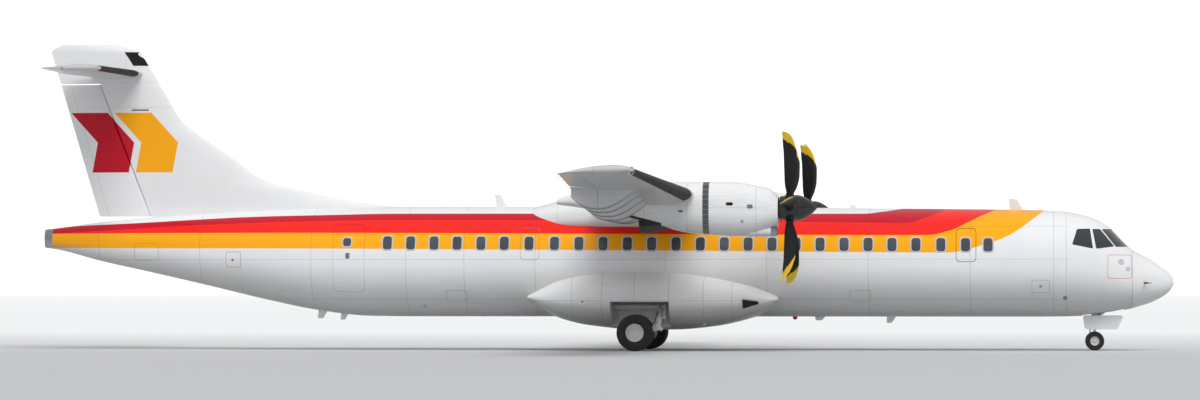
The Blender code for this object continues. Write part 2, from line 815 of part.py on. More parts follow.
def fin():
    rings = []
    for z, lead_x in FIN_ROWS:
        tail_x = line_x(RUDDER_HINGE, z) + rudder_half(z) + 2 * MOVING_GAP
        rings.append(fin_ring(z, lead_x, tail_x))
    lower = loft("fin", rings, "white")
    combine(lower, fuselage_skin("fin_seat", GAP), "DIFFERENCE")

    rows = ((FIN_JOINT_Z + GAP, FIN_ROWS[-1][1]), *FIN_HEAD_ROWS)
    rings = [fin_ring(z, lead_x, line_x(FIN_TRAILING, z)) for z, lead_x in rows[:-1]]
    top_z, top_x = rows[-1]
    top = fin_ring(top_z, top_x, line_x(FIN_TRAILING, top_z) + 0.35)
    rings.append([(x, 0.4 * y, z) for x, y, z in top])
    head = loft("fin_head", rings, "white")
    combine(head, tail_surface("tailplane_slot", 0.0, 2 * GAP), "DIFFERENCE")


def rudder():
    rings = []
    for z in (RUDDER_HINGE[0][1] + 0.035, FIN_JOINT_Z - 0.03):
        hinge_x, tail_x = line_x(RUDDER_HINGE, z), line_x(FIN_TRAILING, z)
        ring = hinged_ring(0.0, hinge_x - tail_x, rudder_half(z))
        rings.append([(hinge_x - aft, across, z) for aft, across in ring])
    thing = loft("rudder", rings, "white")
    combine(thing, fuselage_skin("rudder_floor", 0.02), "DIFFERENCE")


def tail_section(y):
    share = y / TAIL_HALF_SPAN
    lead_x = TAIL_ROOT_LEADING_X + (TAIL_TIP_LEADING_X - TAIL_ROOT_LEADING_X) * share
    chord = TAIL_ROOT_CHORD + (TAIL_TIP_CHORD - TAIL_ROOT_CHORD) * share
    return lead_x, chord


def elevator_half(y):
    lead_x, chord = tail_section(y)
    return chord * half_thickness((lead_x - ELEVATOR_HINGE_X) / chord, TAIL_THICKNESS)


def tail_surface(name, first, grow=0.0, look=None):
    """The fixed tailplane, whose rear face leaves room for the elevators' noses."""
    stations = (TAIL_HALF_SPAN, TAIL_HALF_SPAN - 0.05, TAIL_HALF_SPAN - 0.15, 0.0)
    shrinks = (0.35, 0.75, 1.0, 1.0)
    rings = []
    for y, shrink in zip(stations, shrinks):
        lead_x, chord = tail_section(y)
        start = first + (1 - shrink) * 0.08
        last = (lead_x - ELEVATOR_HINGE_X - elevator_half(y) - 2 * MOVING_GAP) / chord
        section = airfoil(start, last, chord, TAIL_THICKNESS * shrink, 0.0, grow)
        rings.append([(lead_x - aft, -y, TAIL_Z + height) for aft, height in section])
    rings += [[(x, -y, z) for x, y, z in ring] for ring in rings[-2::-1]]
    return loft(name, rings, look)


def tailplane():
    tail_surface("tailplane", 0.0, 0.0, "grey")
    for name, side in SIDES:
        rings = []
        for y in (ELEVATOR_ROOT_Y, TAIL_HALF_SPAN - 0.15, TAIL_HALF_SPAN):
            lead_x, chord = tail_section(y)
            shrink = 0.5 if y == TAIL_HALF_SPAN else 1.0
            tail = ELEVATOR_HINGE_X - (lead_x - chord)
            ring = hinged_ring(0.0, tail - (1 - shrink) * 0.1, shrink * elevator_half(y))
            rings.append([(ELEVATOR_HINGE_X - aft, side * y, TAIL_Z + up) for aft, up in ring])
        loft("elevator_" + name, rings, "grey")


def across(x, y, z):
    """Stands a turned piece's own axis along Y at a point."""
    return Matrix.Translation((x, y, z)) @ Matrix.Rotation(-math.pi / 2, 4, "X")


def standing(x, y, radius, steps):
    """Stands a turned wheel on a flat of its many-sided outline, which touches the ground."""
    share = 1 / math.cos(math.pi / steps)
    turn = Matrix.Rotation(math.pi / steps, 4, "Z")
    return across(x, y, radius) @ turn @ Matrix.Diagonal((share, share, 1, 1))


def tyre(name, x, y, radius, width, rim_radius, steps):
    half = width / 2
    profile = (
        (rim_radius, 0.36 * width),
        (rim_radius + 0.25 * (radius - rim_radius), half * 0.98),
        (radius - 0.35 * (radius - rim_radius), half),
        (radius - 0.10 * (radius - rim_radius), half * 0.80),
        (radius, half * 0.45),
        (radius, -half * 0.45),
        (radius - 0.10 * (radius - rim_radius), -half * 0.80),
        (radius - 0.35 * (radius - rim_radius), -half),
        (rim_radius + 0.25 * (radius - rim_radius), -half * 0.98),
        (rim_radius, -0.36 * width),
    )
    turned(name, profile, steps, standing(x, y, radius, steps), "black_rubber", closed=True)


def wheel_pair(name, x, y, radius, rim_radius, twin, width, shaft_radius, steps):
    """Two rims on the turning axle that joins them; like one reel on its shaft."""
    rim = rim_radius - GAP
    half = 0.36 * width - 0.01
    outer = twin + half
    inner = twin - half
    web_out, web_in = twin + 0.35 * half, twin - 0.15 * half
    side_profile = [
        (0.0, web_out),
        (0.80 * rim, web_out),
        (0.90 * rim, outer),
        (rim, outer),
        (rim, inner),
        (0.80 * rim, web_in),
        (shaft_radius, web_in),
    ]
    profile = side_profile + [(r, -h) for r, h in reversed(side_profile)]
    turned(name, profile, steps, standing(x, y, radius, steps), "gear_grey")


def main_gear(name, side):
    for place_name, offset in (("inner", -MAIN_TWIN), ("outer", MAIN_TWIN)):
        tyre(
            "main_tyre_%s_%s" % (place_name, name),
            MAIN_X,
            (MAIN_Y + offset) * side,
            MAIN_RADIUS,
            MAIN_TYRE_WIDTH,
            MAIN_RIM,
            MAIN_STEPS,
        )
    wheel_pair(
        "main_wheels_" + name,
        MAIN_X,
        MAIN_Y * side,
        MAIN_RADIUS,
        MAIN_RIM,
        MAIN_TWIN,
        MAIN_TYRE_WIDTH,
        MAIN_SHAFT_RADIUS,
        MAIN_STEPS,
    )

    top = Vector((LEG_TOP[0], LEG_TOP[1] * side, LEG_TOP[2]))
    knee = Vector((LEG_KNEE[0], MAIN_Y * side, LEG_KNEE[1]))
    axle = Vector((MAIN_X, MAIN_Y * side, MAIN_RADIUS))
    leg = cylinder("main_leg_" + name, top, knee, LEG_RADIUS, "gear_grey")
    trunnion_start = (WELL_X[0] + GAP, top.y, top.z)
    trunnion_end = (WELL_X[1] - GAP, top.y, top.z)
    combine(leg, cylinder("trunnion_" + name, trunnion_start, trunnion_end, TRUNNION_RADIUS), "UNION")
    arm_half = Vector((0, ARM_HALF_WIDTH, 0))
    arm_start = knee + Vector((ARM_LEAD, 0, 0))
    arm = loft(
        "arm_" + name,
        [
            [
                centre + sign * arm_half + Vector((0, 0, rise))
                for sign, rise in ((-1, -size), (1, -size), (1, size), (-1, size))
            ]
            for centre, size in ((arm_start, ARM_KNEE_SIZE), (axle, ARM_AXLE_SIZE))
        ],
    )
    combine(leg, arm, "UNION")
    hub = cylinder("axle_ring_" + name, axle - arm_half, axle + arm_half, MAIN_RING_RADIUS, sides=20)
    combine(leg, hub, "UNION")
    shock_top = Vector((SHOCK_TOP[0], SHOCK_TOP[1] * side, SHOCK_TOP[2]))
    shock_foot = Vector((SHOCK_FOOT[0], MAIN_Y * side, SHOCK_FOOT[1]))
    combine(leg, cylinder("shock_" + name, shock_top, shock_foot, SHOCK_RADIUS), "UNION")
    lug_end = Vector((LUG_END[0], LUG_END[1] * side, LUG_END[2]))
    combine(leg, cylinder("lug_" + name, shock_top, lug_end, LUG_RADIUS), "UNION")
    foot_start = shock_foot + Vector((FOOT_LEAD, 0, 0))
    combine(leg, cylinder("shock_foot_" + name, foot_start, knee, FOOT_RADIUS), "UNION")
    reach = Vector((0, BORE_REACH, 0))
    bore = cylinder("axle_bore_" + name, axle - reach, axle + reach, MAIN_BORE_RADIUS, sides=24)
    combine(leg, bore, "DIFFERENCE")


def nose_gear():
    for name, side in SIDES:
        tyre(
            "nose_tyre_" + name,
            NOSE_X,
            NOSE_TWIN * side,
            NOSE_RADIUS,
            NOSE_TYRE_WIDTH,
            NOSE_RIM,
            NOSE_STEPS,
        )
        low, high = sorted(y * side for y in NOSE_DOOR_Y)
        box(
            "nose_door_" + name,
            (NOSE_WELL_X[0] + NOSE_DOOR_INSET, low, NOSE_DOOR_Z[0]),
            (NOSE_WELL_X[1] - NOSE_DOOR_INSET, high, NOSE_DOOR_Z[1]),
            "white",
        )
    wheel_pair(
        "nose_wheels",
        NOSE_X,
        0.0,
        NOSE_RADIUS,
        NOSE_RIM,
        NOSE_TWIN,
        NOSE_TYRE_WIDTH,
        NOSE_SHAFT_RADIUS,
        NOSE_STEPS,
    )

    strut_top = (NOSE_X, 0, NOSE_WELL_TOP_Z - GAP)
    strut = cylinder("nose_strut", (NOSE_X, 0, STRUT_FOOT_Z), strut_top, STRUT_RADIUS, "gear_grey")
    brace_x, brace_z = BRACE_TOP
    brace = cylinder("nose_brace", (NOSE_X, 0, BRACE_FOOT_Z), (brace_x, 0, brace_z), BRACE_RADIUS)
    combine(strut, brace, "UNION")
    cross_end = Vector((brace_x, NOSE_WELL_HALF - GAP, brace_z))
    cross_start = Vector((brace_x, GAP - NOSE_WELL_HALF, brace_z))
    cross = cylinder("nose_cross", cross_start, cross_end, CROSS_RADIUS)
    combine(strut, cross, "UNION")

    axle = Vector((NOSE_X, 0, NOSE_RADIUS))
    piston = cylinder("nose_fork", axle, (NOSE_X, 0, PISTON_TOP_Z), PISTON_RADIUS, "steel")
    half = Vector((0, NOSE_RING_HALF, 0))
    ring = cylinder("nose_axle_ring", axle - half, axle + half, NOSE_RING_RADIUS, sides=20)
    combine(piston, ring, "UNION")
    reach = Vector((0, BORE_REACH, 0))
    bore = cylinder("nose_axle_bore", axle - reach, axle + reach, NOSE_BORE_RADIUS, sides=24)
    combine(piston, bore, "DIFFERENCE")


remove_everything()
PARTS = collection("turboprop_airliner")
CUTTERS = collection("cutters")
fuselage_parts()
belly_fairing()
inner_wing()
wing_fairing()
for side_name, side_sign in SIDES:
    outer_wing(side_name, side_sign)
    flaps(side_name, side_sign)
    ailerons(side_name, side_sign)
    nacelle(side_name, side_sign)
    propeller(side_name, side_sign)
    main_gear(side_name, side_sign)
fin()
rudder()
tailplane()
nose_gear()
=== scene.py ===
import math

import bmesh
import bpy
import numpy as np
from mathutils import Matrix, Vector


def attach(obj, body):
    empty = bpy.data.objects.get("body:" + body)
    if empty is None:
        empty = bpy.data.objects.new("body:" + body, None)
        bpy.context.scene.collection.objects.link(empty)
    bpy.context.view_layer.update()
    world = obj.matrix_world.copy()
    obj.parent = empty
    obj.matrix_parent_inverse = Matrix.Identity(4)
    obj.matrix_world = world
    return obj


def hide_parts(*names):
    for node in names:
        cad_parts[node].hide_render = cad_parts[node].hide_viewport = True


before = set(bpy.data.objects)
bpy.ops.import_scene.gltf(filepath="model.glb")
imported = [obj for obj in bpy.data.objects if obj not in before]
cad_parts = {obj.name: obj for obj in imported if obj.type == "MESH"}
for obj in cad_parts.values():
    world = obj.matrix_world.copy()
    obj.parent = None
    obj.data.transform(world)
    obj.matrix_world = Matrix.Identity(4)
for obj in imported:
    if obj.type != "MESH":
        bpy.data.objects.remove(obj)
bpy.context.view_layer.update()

SIDES = (("right", -1), ("left", 1))


# ---------------------------------------------------------------- camera
camera_data = bpy.data.cameras.new("camera")
camera = bpy.data.objects.new("camera", camera_data)
bpy.context.scene.collection.objects.link(camera)
bpy.context.scene.camera = camera
camera.location = (10.856, -116.006, 1.539)
camera.rotation_euler = (math.radians(91.010), 0.0, math.radians(5.388))
camera_data.sensor_width = 36.0
camera_data.lens = 145.68
camera_data.clip_start = 1.0
camera_data.clip_end = 3000.0
bpy.context.scene.view_settings.view_transform = "Standard"

# ---------------------------------------------------------------- sizes shared with the CAD
HALF_WIDTH = 1.4325
RING_POWER = 2.15
RING_POINTS = 112
DOOR_THICKNESS = 0.10
REAR_SEAM_X = -8.62
CHORD, LEADING_X, LEADING_Z = 2.57, 2.50, 3.61
TIP_CHORD, TIP_LEADING_X, TIP_LEADING_Z = 1.59, 1.87, 3.99
KINK_Y, TIP_Y = 4.90, 13.525
ROOT_THICKNESS, TIP_THICKNESS, CAMBER = 0.18, 0.13, 0.02
INCIDENCE = math.radians(2.0)
AIRFOIL_POINTS = 18
BOOT_SHARE, BOOT_START_Y, BOOT_END_Y = 0.07, 4.97, 13.25
FLAP_SHARE, FLAP_PIVOT_DROP = 0.70, 0.45
FLAPS = (("inner_flap", 1.50, 3.45), ("outer_flap", 4.67, 9.32))
FLAP_TRACKS = {"inner_flap": (1.85, 3.10), "outer_flap": (5.30, 6.60, 7.90, 9.10)}
AILERON_SHARE, AILERON_SPAN = 0.74, (9.39, 13.10)
ENGINE_Y, SHAFT_Z, PROP_X, PROP_RADIUS = 4.05, 3.33, 4.70, 1.965
HUB_RADIUS, HUB_BACK_X, HUB_FRONT_X, SPINNER_TIP_X = 0.30, 4.470, 4.860, 5.326
PROP_PHASE = {"right": math.radians(25.0), "left": math.radians(30.0)}
FIN_TRAILING = ((-12.218, 3.081), (-13.469, 7.257))
RUDDER_HINGE = ((-11.077, 3.176), (-12.310, 6.403))
FIN_JOINT_Z, FIN_TOP_Z, FIN_THICKNESS, FIN_TOP_THICKNESS = 6.43, 7.375, 0.32, 0.22
TAIL_Z, TAIL_HALF_SPAN = 6.66, 3.655
TAIL_ROOT_LEADING_X, TAIL_TIP_LEADING_X = -11.19, -11.56
TAIL_ROOT_CHORD, TAIL_TIP_CHORD, TAIL_THICKNESS = 1.89, 1.40, 0.12
ELEVATOR_HINGE_X, ELEVATOR_ROOT_Y = -12.50, 0.24
MAIN_X, MAIN_Y, MAIN_RADIUS, MAIN_TYRE_WIDTH, MAIN_TWIN = 0.95, 2.05, 0.43, 0.26, 0.20
NOSE_X, NOSE_RADIUS, NOSE_TYRE_WIDTH, NOSE_TWIN = 11.72, 0.225, 0.17, 0.17
WELL_X, WELL_Y, WELL_TOP_Z = (0.33, 1.72), (1.02, 2.40), 1.16
NOSE_WELL_X, NOSE_WELL_HALF, NOSE_WELL_TOP_Z = (11.42, 12.42), 0.27, 1.25

# Doors: name, (start x, end x, sill z, top z), side, gap, slope of the top edge, half width there
DOORS = (
    ("passenger_door", (-6.36, -5.60, 1.38, 3.00), 1, 0.008, 0.21, 0.95),
    ("cargo_door", (8.95, 10.225, 1.38, 2.91), 1, 0.008, 0.0, 1.12),
    ("service_door", (-6.36, -5.60, 1.40, 3.00), -1, 0.004, 0.0, 1.0),
)
DOOR_RECESS_Y = 0.70

# Fuselage sections: x, underside z, top z, half width
FUSELAGE_ROWS = (
    (-13.583, 2.455, 2.900, 0.175),
    (-13.385, 2.430, 2.920, 0.200),
    (-12.200, 2.130, 3.080, 0.420),
    (-11.000, 1.865, 3.180, 0.620),
    (-9.600, 1.545, 3.285, 0.860),
    (-8.200, 1.215, 3.350, 1.090),
    (-6.900, 0.950, 3.395, 1.270),
    (-5.700, 0.815, 3.425, 1.390),
    (-4.600, 0.800, 3.440, HALF_WIDTH),
    (-1.500, 0.800, 3.435, HALF_WIDTH),
    (4.000, 0.800, 3.405, HALF_WIDTH),
    (8.800, 0.800, 3.360, HALF_WIDTH),
    (10.200, 0.800, 3.340, 1.415),
    (10.900, 0.805, 3.315, 1.350),
    (11.400, 0.820, 3.235, 1.265),
    (11.850, 0.865, 3.075, 1.140),
    (12.100, 0.895, 2.905, 1.050),
    (12.330, 0.940, 2.670, 0.950),
    (12.600, 0.995, 2.400, 0.820),
    (12.800, 1.055, 2.290, 0.710),
    (13.030, 1.130, 2.165, 0.570),
    (13.270, 1.245, 2.000, 0.410),
    (13.500, 1.415, 1.815, 0.200),
    (13.583, 1.560, 1.700, 0.065),
)
BELLY_ROWS = (
    (-1.685, 1.180, 1.340, 1.38),
    (-1.380, 0.950, 1.560, 1.56),
    (-0.930, 0.730, 1.800, 1.72),
    (-0.240, 0.580, 1.960, 1.86),
    (0.900, 0.485, 2.030, 1.94),
    (1.790, 0.490, 2.000, 1.94),
    (2.690, 0.570, 1.880, 1.86),
    (3.610, 0.780, 1.640, 1.68),
    (4.060, 0.970, 1.440, 1.53),
    (4.260, 1.140, 1.300, 1.40),
)
WING_FAIRING_ROWS = (
    (-2.100, 2.700, 3.300, 0.55),
    (-1.400, 2.700, 3.480, 0.95),
    (-0.550, 2.700, 3.700, 1.22),
    (0.400, 2.700, 3.850, 1.30),
    (1.500, 2.700, 3.920, 1.32),
    (2.500, 2.700, 3.880, 1.28),
    (3.100, 2.700, 3.700, 1.10),
    (3.700, 2.700, 3.400, 0.75),
)
NACELLE_ROWS = (
    (-0.700, 3.420, 3.560, 0.12),
    (-0.100, 3.330, 3.720, 0.28),
    (0.750, 3.170, 3.880, 0.40),
    (1.750, 2.900, 3.935, 0.46),
    (2.350, 2.760, 3.935, 0.48),
    (2.830, 2.715, 3.935, 0.48),
    (3.430, 2.680, 3.930, 0.47),
    (3.930, 2.725, 3.850, 0.45),
    (4.240, 2.820, 3.770, 0.42),
    (4.433, 2.900, 3.600, 0.36),
)
FIN_ROWS = (
    (2.900, -4.700),
    (3.420, -4.950),
    (3.580, -6.140),
    (3.700, -6.730),
    (3.850, -7.330),
    (3.960, -7.900),
    (4.120, -8.290),
    (4.680, -9.080),
    (5.160, -9.800),
    (5.550, -10.270),
    (6.150, -10.640),
    (FIN_JOINT_Z, -10.810),
)
FIN_HEAD_ROWS = ((FIN_JOINT_Z + 0.0003, -10.810), (6.990, -11.145), (7.200, -11.290), (FIN_TOP_Z, -11.900))
BLADE_ROWS = (
    (0.110, 0.120, 88.0, 0.000, 0.90),
    (0.200, 0.150, 80.0, 0.000, 0.55),
    (0.320, 0.260, 72.0, 0.020, 0.18),
    (0.500, 0.330, 64.0, 0.045, 0.10),
    (0.680, 0.345, 58.0, 0.045, 0.08),
    (0.840, 0.300, 54.0, 0.000, 0.07),
    (0.930, 0.215, 51.5, -0.050, 0.06),
    (0.975, 0.125, 50.5, -0.110, 0.06),
    (1.000, 0.035, 50.0, -0.155, 0.06),
)

# Edges of the stripes on the body, as (x, z) down the side
CRIMSON_TOP = (
    (-13.6, 2.915), (-12.720, 2.983), (-11.455, 3.039), (-9.713, 3.131), (-8.482, 3.189), (-6.520, 3.232),
    (-4.820, 3.260), (0.0, 3.255), (6.179, 3.246), (6.649, 3.287), (6.999, 3.337), (7.247, 3.386),
    (7.6, 3.48),
)
RED_TOP = (
    (-13.6, 2.785), (-12.789, 2.829), (-11.805, 2.882), (-9.661, 2.997), (-7.222, 3.075), (-4.789, 3.106),
    (0.010, 3.086), (6.192, 3.033), (7.185, 3.020), (7.607, 3.103), (7.955, 3.236), (8.201, 3.364),
    (8.4, 3.48),
)
AMBER_TOP = (
    (-13.6, 2.794), (-9.664, 2.803), (-4.753, 2.793), (1.226, 2.763), (7.145, 2.733), (7.686, 2.733),
    (8.180, 2.804), (8.670, 3.001), (8.973, 3.152), (9.344, 3.325), (9.66, 3.48),
)
WHITE_TOP = (
    (-13.6, 2.463), (-11.665, 2.442), (-8.402, 2.433), (-4.734, 2.411), (1.237, 2.371), (5.971, 2.332),
    (8.183, 2.319), (8.676, 2.377), (8.981, 2.462), (9.427, 2.601), (9.918, 2.850), (10.152, 3.026),
    (10.526, 3.316), (10.74, 3.48),
)

CRIMSON = (0.56, 0.004, 0.020)
RED = (0.92, 0.018, 0.012)
AMBER = (1.00, 0.42, 0.004)
WHITE = (0.83, 0.835, 0.84)


# ---------------------------------------------------------------- mesh helpers
def smooth_table(rows, count):
    """More rows between those of a table, by monotone cubics in its first column."""
    table = np.array(rows, float)
    x = table[:, 0]
    h = np.diff(x)
    fine = np.unique(np.concatenate([x, np.linspace(x[0], x[-1], count)]))
    fine = fine[np.concatenate([[True], np.diff(fine) > 0.004 * abs(x[-1] - x[0]) / count])]
    out = [fine]
    for k in range(1, table.shape[1]):
        y = table[:, k]
        d = np.diff(y) / h
        m = np.zeros(len(x))
        m[0], m[-1] = d[0], d[-1]
        for i in range(1, len(x) - 1):
            if d[i - 1] * d[i] > 0:
                w1, w2 = 2 * h[i] + h[i - 1], h[i] + 2 * h[i - 1]
                m[i] = (w1 + w2) / (w1 / d[i - 1] + w2 / d[i])
        i = np.clip(np.searchsorted(x, fine) - 1, 0, len(h) - 1)
        t = (fine - x[i]) / h[i]
        a = (1 + 2 * t) * (1 - t) ** 2 * y[i] + t * (1 - t) ** 2 * h[i] * m[i]
        b = t * t * (3 - 2 * t) * y[i + 1] + t * t * (t - 1) * h[i] * m[i + 1]
        out.append(a + b)
    return [tuple(float(v) for v in row) for row in np.array(out).T]


BODY_TABLE = smooth_table(FUSELAGE_ROWS, 170)
BODY_GRID = np.array(BODY_TABLE)
BELLY_TABLE = smooth_table(BELLY_ROWS, 46)
BELLY_SMOOTH = np.array(BELLY_TABLE)
BELLY_POWER = 2.5


def finish_mesh(name, work, sharp=32.0):
    bmesh.ops.recalc_face_normals(work, faces=work.faces)
    mesh = bpy.data.meshes.new(name)
    work.to_mesh(mesh)
    work.free()
    mesh.shade_smooth()
    mesh.set_sharp_from_angle(angle=math.radians(sharp))
    return mesh


def link(name, mesh):
    thing = bpy.data.objects.new(name, mesh)
    bpy.context.scene.collection.objects.link(thing)
    return thing


def loft(name, rings, sharp=32.0, caps=True):
    work = bmesh.new()
    rows = [[work.verts.new(point) for point in ring] for ring in rings]
    count = len(rows[0])
    for near, far in zip(rows, rows[1:]):
        for i in range(count):
            j = (i + 1) % count
            work.faces.new((near[i], near[j], far[j], far[i]))
    if caps:
        work.faces.new(reversed(rows[0]))
        work.faces.new(rows[-1])
    return link(name, finish_mesh(name, work, sharp))


def box(name, low, high, round_off=0.0):
    size = Vector(high) - Vector(low)
    centre = (Vector(high) + Vector(low)) / 2
    work = bmesh.new()
    bmesh.ops.create_cube(work, size=1.0, matrix=Matrix.Translation(centre) @ Matrix.Diagonal((*size, 1.0)))
    if round_off:
        bmesh.ops.bevel(work, geom=work.edges[:], offset=round_off, segments=2, profile=0.6, affect="EDGES")
    return link(name, finish_mesh(name, work))


def cylinder(name, start, end, radius, sides=32, end_radius=None, round_off=0.0):
    start, end = Vector(start), Vector(end)
    run = end - start
    turn = run.to_track_quat("Z", "Y").to_matrix().to_4x4()
    work = bmesh.new()
    bmesh.ops.create_cone(
        work, cap_ends=True, segments=sides, radius1=radius,
        radius2=radius if end_radius is None else end_radius, depth=run.length,
        matrix=Matrix.Translation((start + end) / 2) @ turn,
    )
    if round_off:
        ends = [e for e in work.edges if any(len(f.verts) > 4 for f in e.link_faces)]
        bmesh.ops.bevel(work, geom=ends, offset=round_off, segments=2, profile=0.6, affect="EDGES")
    return link(name, finish_mesh(name, work))


def turned(name, profile, steps, matrix, closed=False, sharp=32.0):
    """Spin a profile of (radius, height) points about its own Z axis."""
    work = bmesh.new()
    rings = []
    for step in range(steps):
        a = 2 * math.pi * step / steps
        rings.append([work.verts.new(matrix @ Vector((r * math.cos(a), r * math.sin(a), h))) for r,
                      h in profile])
    count = len(profile)
    for s in range(steps):
        near, far = rings[s], rings[(s + 1) % steps]
        for i in range(count if closed else count - 1):
            j = (i + 1) % count
            work.faces.new((near[i], near[j], far[j], far[i]))
    bmesh.ops.remove_doubles(work, verts=work.verts, dist=0.00002)
    bmesh.ops.dissolve_degenerate(work, edges=work.edges, dist=0.000001)
    return link(name, finish_mesh(name, work, sharp))


def tube(name, points, radius, sides=10):
    """A round pipe along a smooth curve through the points."""
    data = bpy.data.curves.new(name, "CURVE")
    data.dimensions = "3D"
    data.bevel_depth = radius
    data.bevel_resolution = sides // 4
    data.resolution_u = 8
    data.use_fill_caps = True
    spline = data.splines.new("NURBS")
    spline.points.add(len(points) - 1)
    for point, place in zip(spline.points, points):
        point.co = (*place, 1.0)
    spline.use_endpoint_u = True
    spline.order_u = 3
    thing = link(name, data)
    graph = bpy.context.evaluated_depsgraph_get()
    mesh = bpy.data.meshes.new_from_object(thing.evaluated_get(graph))
    bpy.data.objects.remove(thing, do_unlink=True)
    mesh.shade_smooth()
    return link(name, mesh)


def combine(thing, tool, operation, sharp=32.0, keep=False):
    """Apply a boolean at once; the tool goes."""
    step = thing.modifiers.new("cut", "BOOLEAN")
    step.operation = operation
    step.object = tool
    step.solver = "EXACT"
    graph = bpy.context.evaluated_depsgraph_get()
    mesh = bpy.data.meshes.new_from_object(thing.evaluated_get(graph))
    thing.modifiers.clear()
    thing.data = mesh
    mesh.shade_smooth()
    mesh.set_sharp_from_angle(angle=math.radians(sharp))
    if not keep:
        bpy.data.objects.remove(tool, do_unlink=True)
    return thing


def join(name, things, sharp=None):
    """One mesh out of several objects, each with its own materials kept."""
    work = bmesh.new()
    slots = []
    for thing in things:
        graph = bpy.context.evaluated_depsgraph_get()
        mesh = bpy.data.meshes.new_from_object(thing.evaluated_get(graph))
        mesh.transform(thing.matrix_world)
        base = []
        for material in (list(thing.data.materials) or [None]):
            if material not in slots:
                slots.append(material)
            base.append(slots.index(material))
        start = len(work.faces)
        work.from_mesh(mesh)
        work.faces.ensure_lookup_table()
        for face in work.faces[start:]:
            face.material_index = base[min(face.material_index, len(base) - 1)]
        bpy.data.meshes.remove(mesh)
        bpy.data.objects.remove(thing, do_unlink=True)
    mesh = bpy.data.meshes.new(name)
    work.to_mesh(mesh)
    work.free()
    for material in slots:
        if material:
            mesh.materials.append(material)
    if sharp:
        mesh.shade_smooth()
        mesh.set_sharp_from_angle(angle=math.radians(sharp))
    return link(name, mesh)


def superellipse(low, high, half, power, points, offset=0.0):
    middle = (low + high) / 2
    section = []
    for i in range(points):
        angle = 2 * math.pi * i / points
        across = math.copysign(abs(math.cos(angle)) ** (2 / power), math.cos(angle))
        upward = math.copysign(abs(math.sin(angle)) ** (2 / power), math.sin(angle))
        section.append(((half + offset) * across, middle + ((high - low) / 2 + offset) * upward))
    return section


def body_rings(rows, offset=0.0, power=RING_POWER, points=RING_POINTS, centre_y=0.0):
    return [
        [(x, centre_y + y, z) for y, z in superellipse(low, high, half, power, points, offset)]
        for x, low, high, half in rows
    ]


def fuselage_skin(name, offset=0.0, first=-13.385, last=12.60, table=BODY_TABLE, points=RING_POINTS):
    return loft(name,
                body_rings([r for r in table if first - 1e-6 <= r[0] <= last + 1e-6], offset, points=points))


def section_at(x):
    return [float(np.interp(x, BODY_GRID[:, 0], BODY_GRID[:, k])) for k in (1, 2, 3)]


def skin_y(x, z, offset=0.0):
    """Half width of the fuselage's skin at a station and a height."""
    low, high, half = section_at(x)
    middle, reach = (low + high) / 2, (high - low) / 2 + offset
    share = min(1.0, abs(z - middle) / reach)
    return (half + offset) * (1 - share ** RING_POWER) ** (1 / RING_POWER)


def skin_point(x, z, side, lift=0.0):
    """A point on the skin, moved out along the skin's normal."""
    y = skin_y(x, z)
    step = 0.01
    slope = (skin_y(x, z + step) - skin_y(x, z - step)) / (2 * step)
    along = (skin_y(x + step, z) - skin_y(x - step, z)) / (2 * step)
    normal = Vector((-along, 1.0, -slope)).normalized()
    spot = Vector((x, y, z)) + normal * lift
    return Vector((spot.x, spot.y * side, spot.z))


def rounded_rect(cx, cz, width, height, corner, per=6):
    points = []
    for sx, sz, first in ((1, 1, 0), (-1, 1, 90), (-1, -1, 180), (1, -1, 270)):
        for step in range(per + 1):
            a = math.radians(first + 90 * step / per)
            points.append((cx + sx * (width / 2 - corner) + corner * math.cos(a),
                           cz + sz * (height / 2 - corner) + corner * math.sin(a)))
    return points


def dense(outline, step=0.03):
    """The outline with points at most a step apart, so that it can follow a curved skin."""
    result = []
    for i, here in enumerate(outline):
        there = outline[(i + 1) % len(outline)]
        count = max(1, math.ceil(math.dist(here, there) / step))
        for k in range(count):
            t = k / count
            result.append((here[0] + (there[0] - here[0]) * t, here[1] + (there[1] - here[1]) * t))
    return result


def patch(name, outline, side, levels, inner=(0.8, 0.6, 0.4, 0.2), place=skin_point):
    """A plate that follows the skin; levels are (scale from its middle, lift) from outside in."""
    outline = dense(outline)
    cx = sum(p[0] for p in outline) / len(outline)
    cz = sum(p[1] for p in outline) / len(outline)
    work = bmesh.new()
    last_scale, last_lift = levels[-1]
    steps = list(levels) + [(last_scale * k, last_lift) for k in inner]
    rings = []
    for scale, lift in steps:
        ring = []
        for x, z in outline:
            if isinstance(scale, tuple):
                px, pz = x + math.copysign(scale[0], cx - x), z + math.copysign(scale[0], cz - z)
            else:
                px, pz = cx + (x - cx) * scale, cz + (z - cz) * scale
            ring.append(work.verts.new(place(px, pz, side, lift)))
        rings.append(ring)
    for near, far in zip(rings, rings[1:]):
        for i in range(len(near)):
            j = (i + 1) % len(near)
            work.faces.new((near[i], near[j], far[j], far[i]))
    middle = work.verts.new(place(cx, cz, side, last_lift))
    for i in range(len(rings[-1])):
        work.faces.new((rings[-1][i], rings[-1][(i + 1) % len(rings[-1])], middle))
    mesh = bpy.data.meshes.new(name)
    work.normal_update()
    if sum((f.normal.y * side) for f in work.faces) < 0:
        bmesh.ops.reverse_faces(work, faces=work.faces)
    work.to_mesh(mesh)
    work.free()
    mesh.shade_smooth()
    mesh.set_sharp_from_angle(angle=math.radians(40.0))
    return link(name, mesh)


def polygon_prism(name, outline, near_y, far_y, side):
    return loft(name, [[(x, y * side, z) for x, z in outline] for y in (near_y, far_y)])


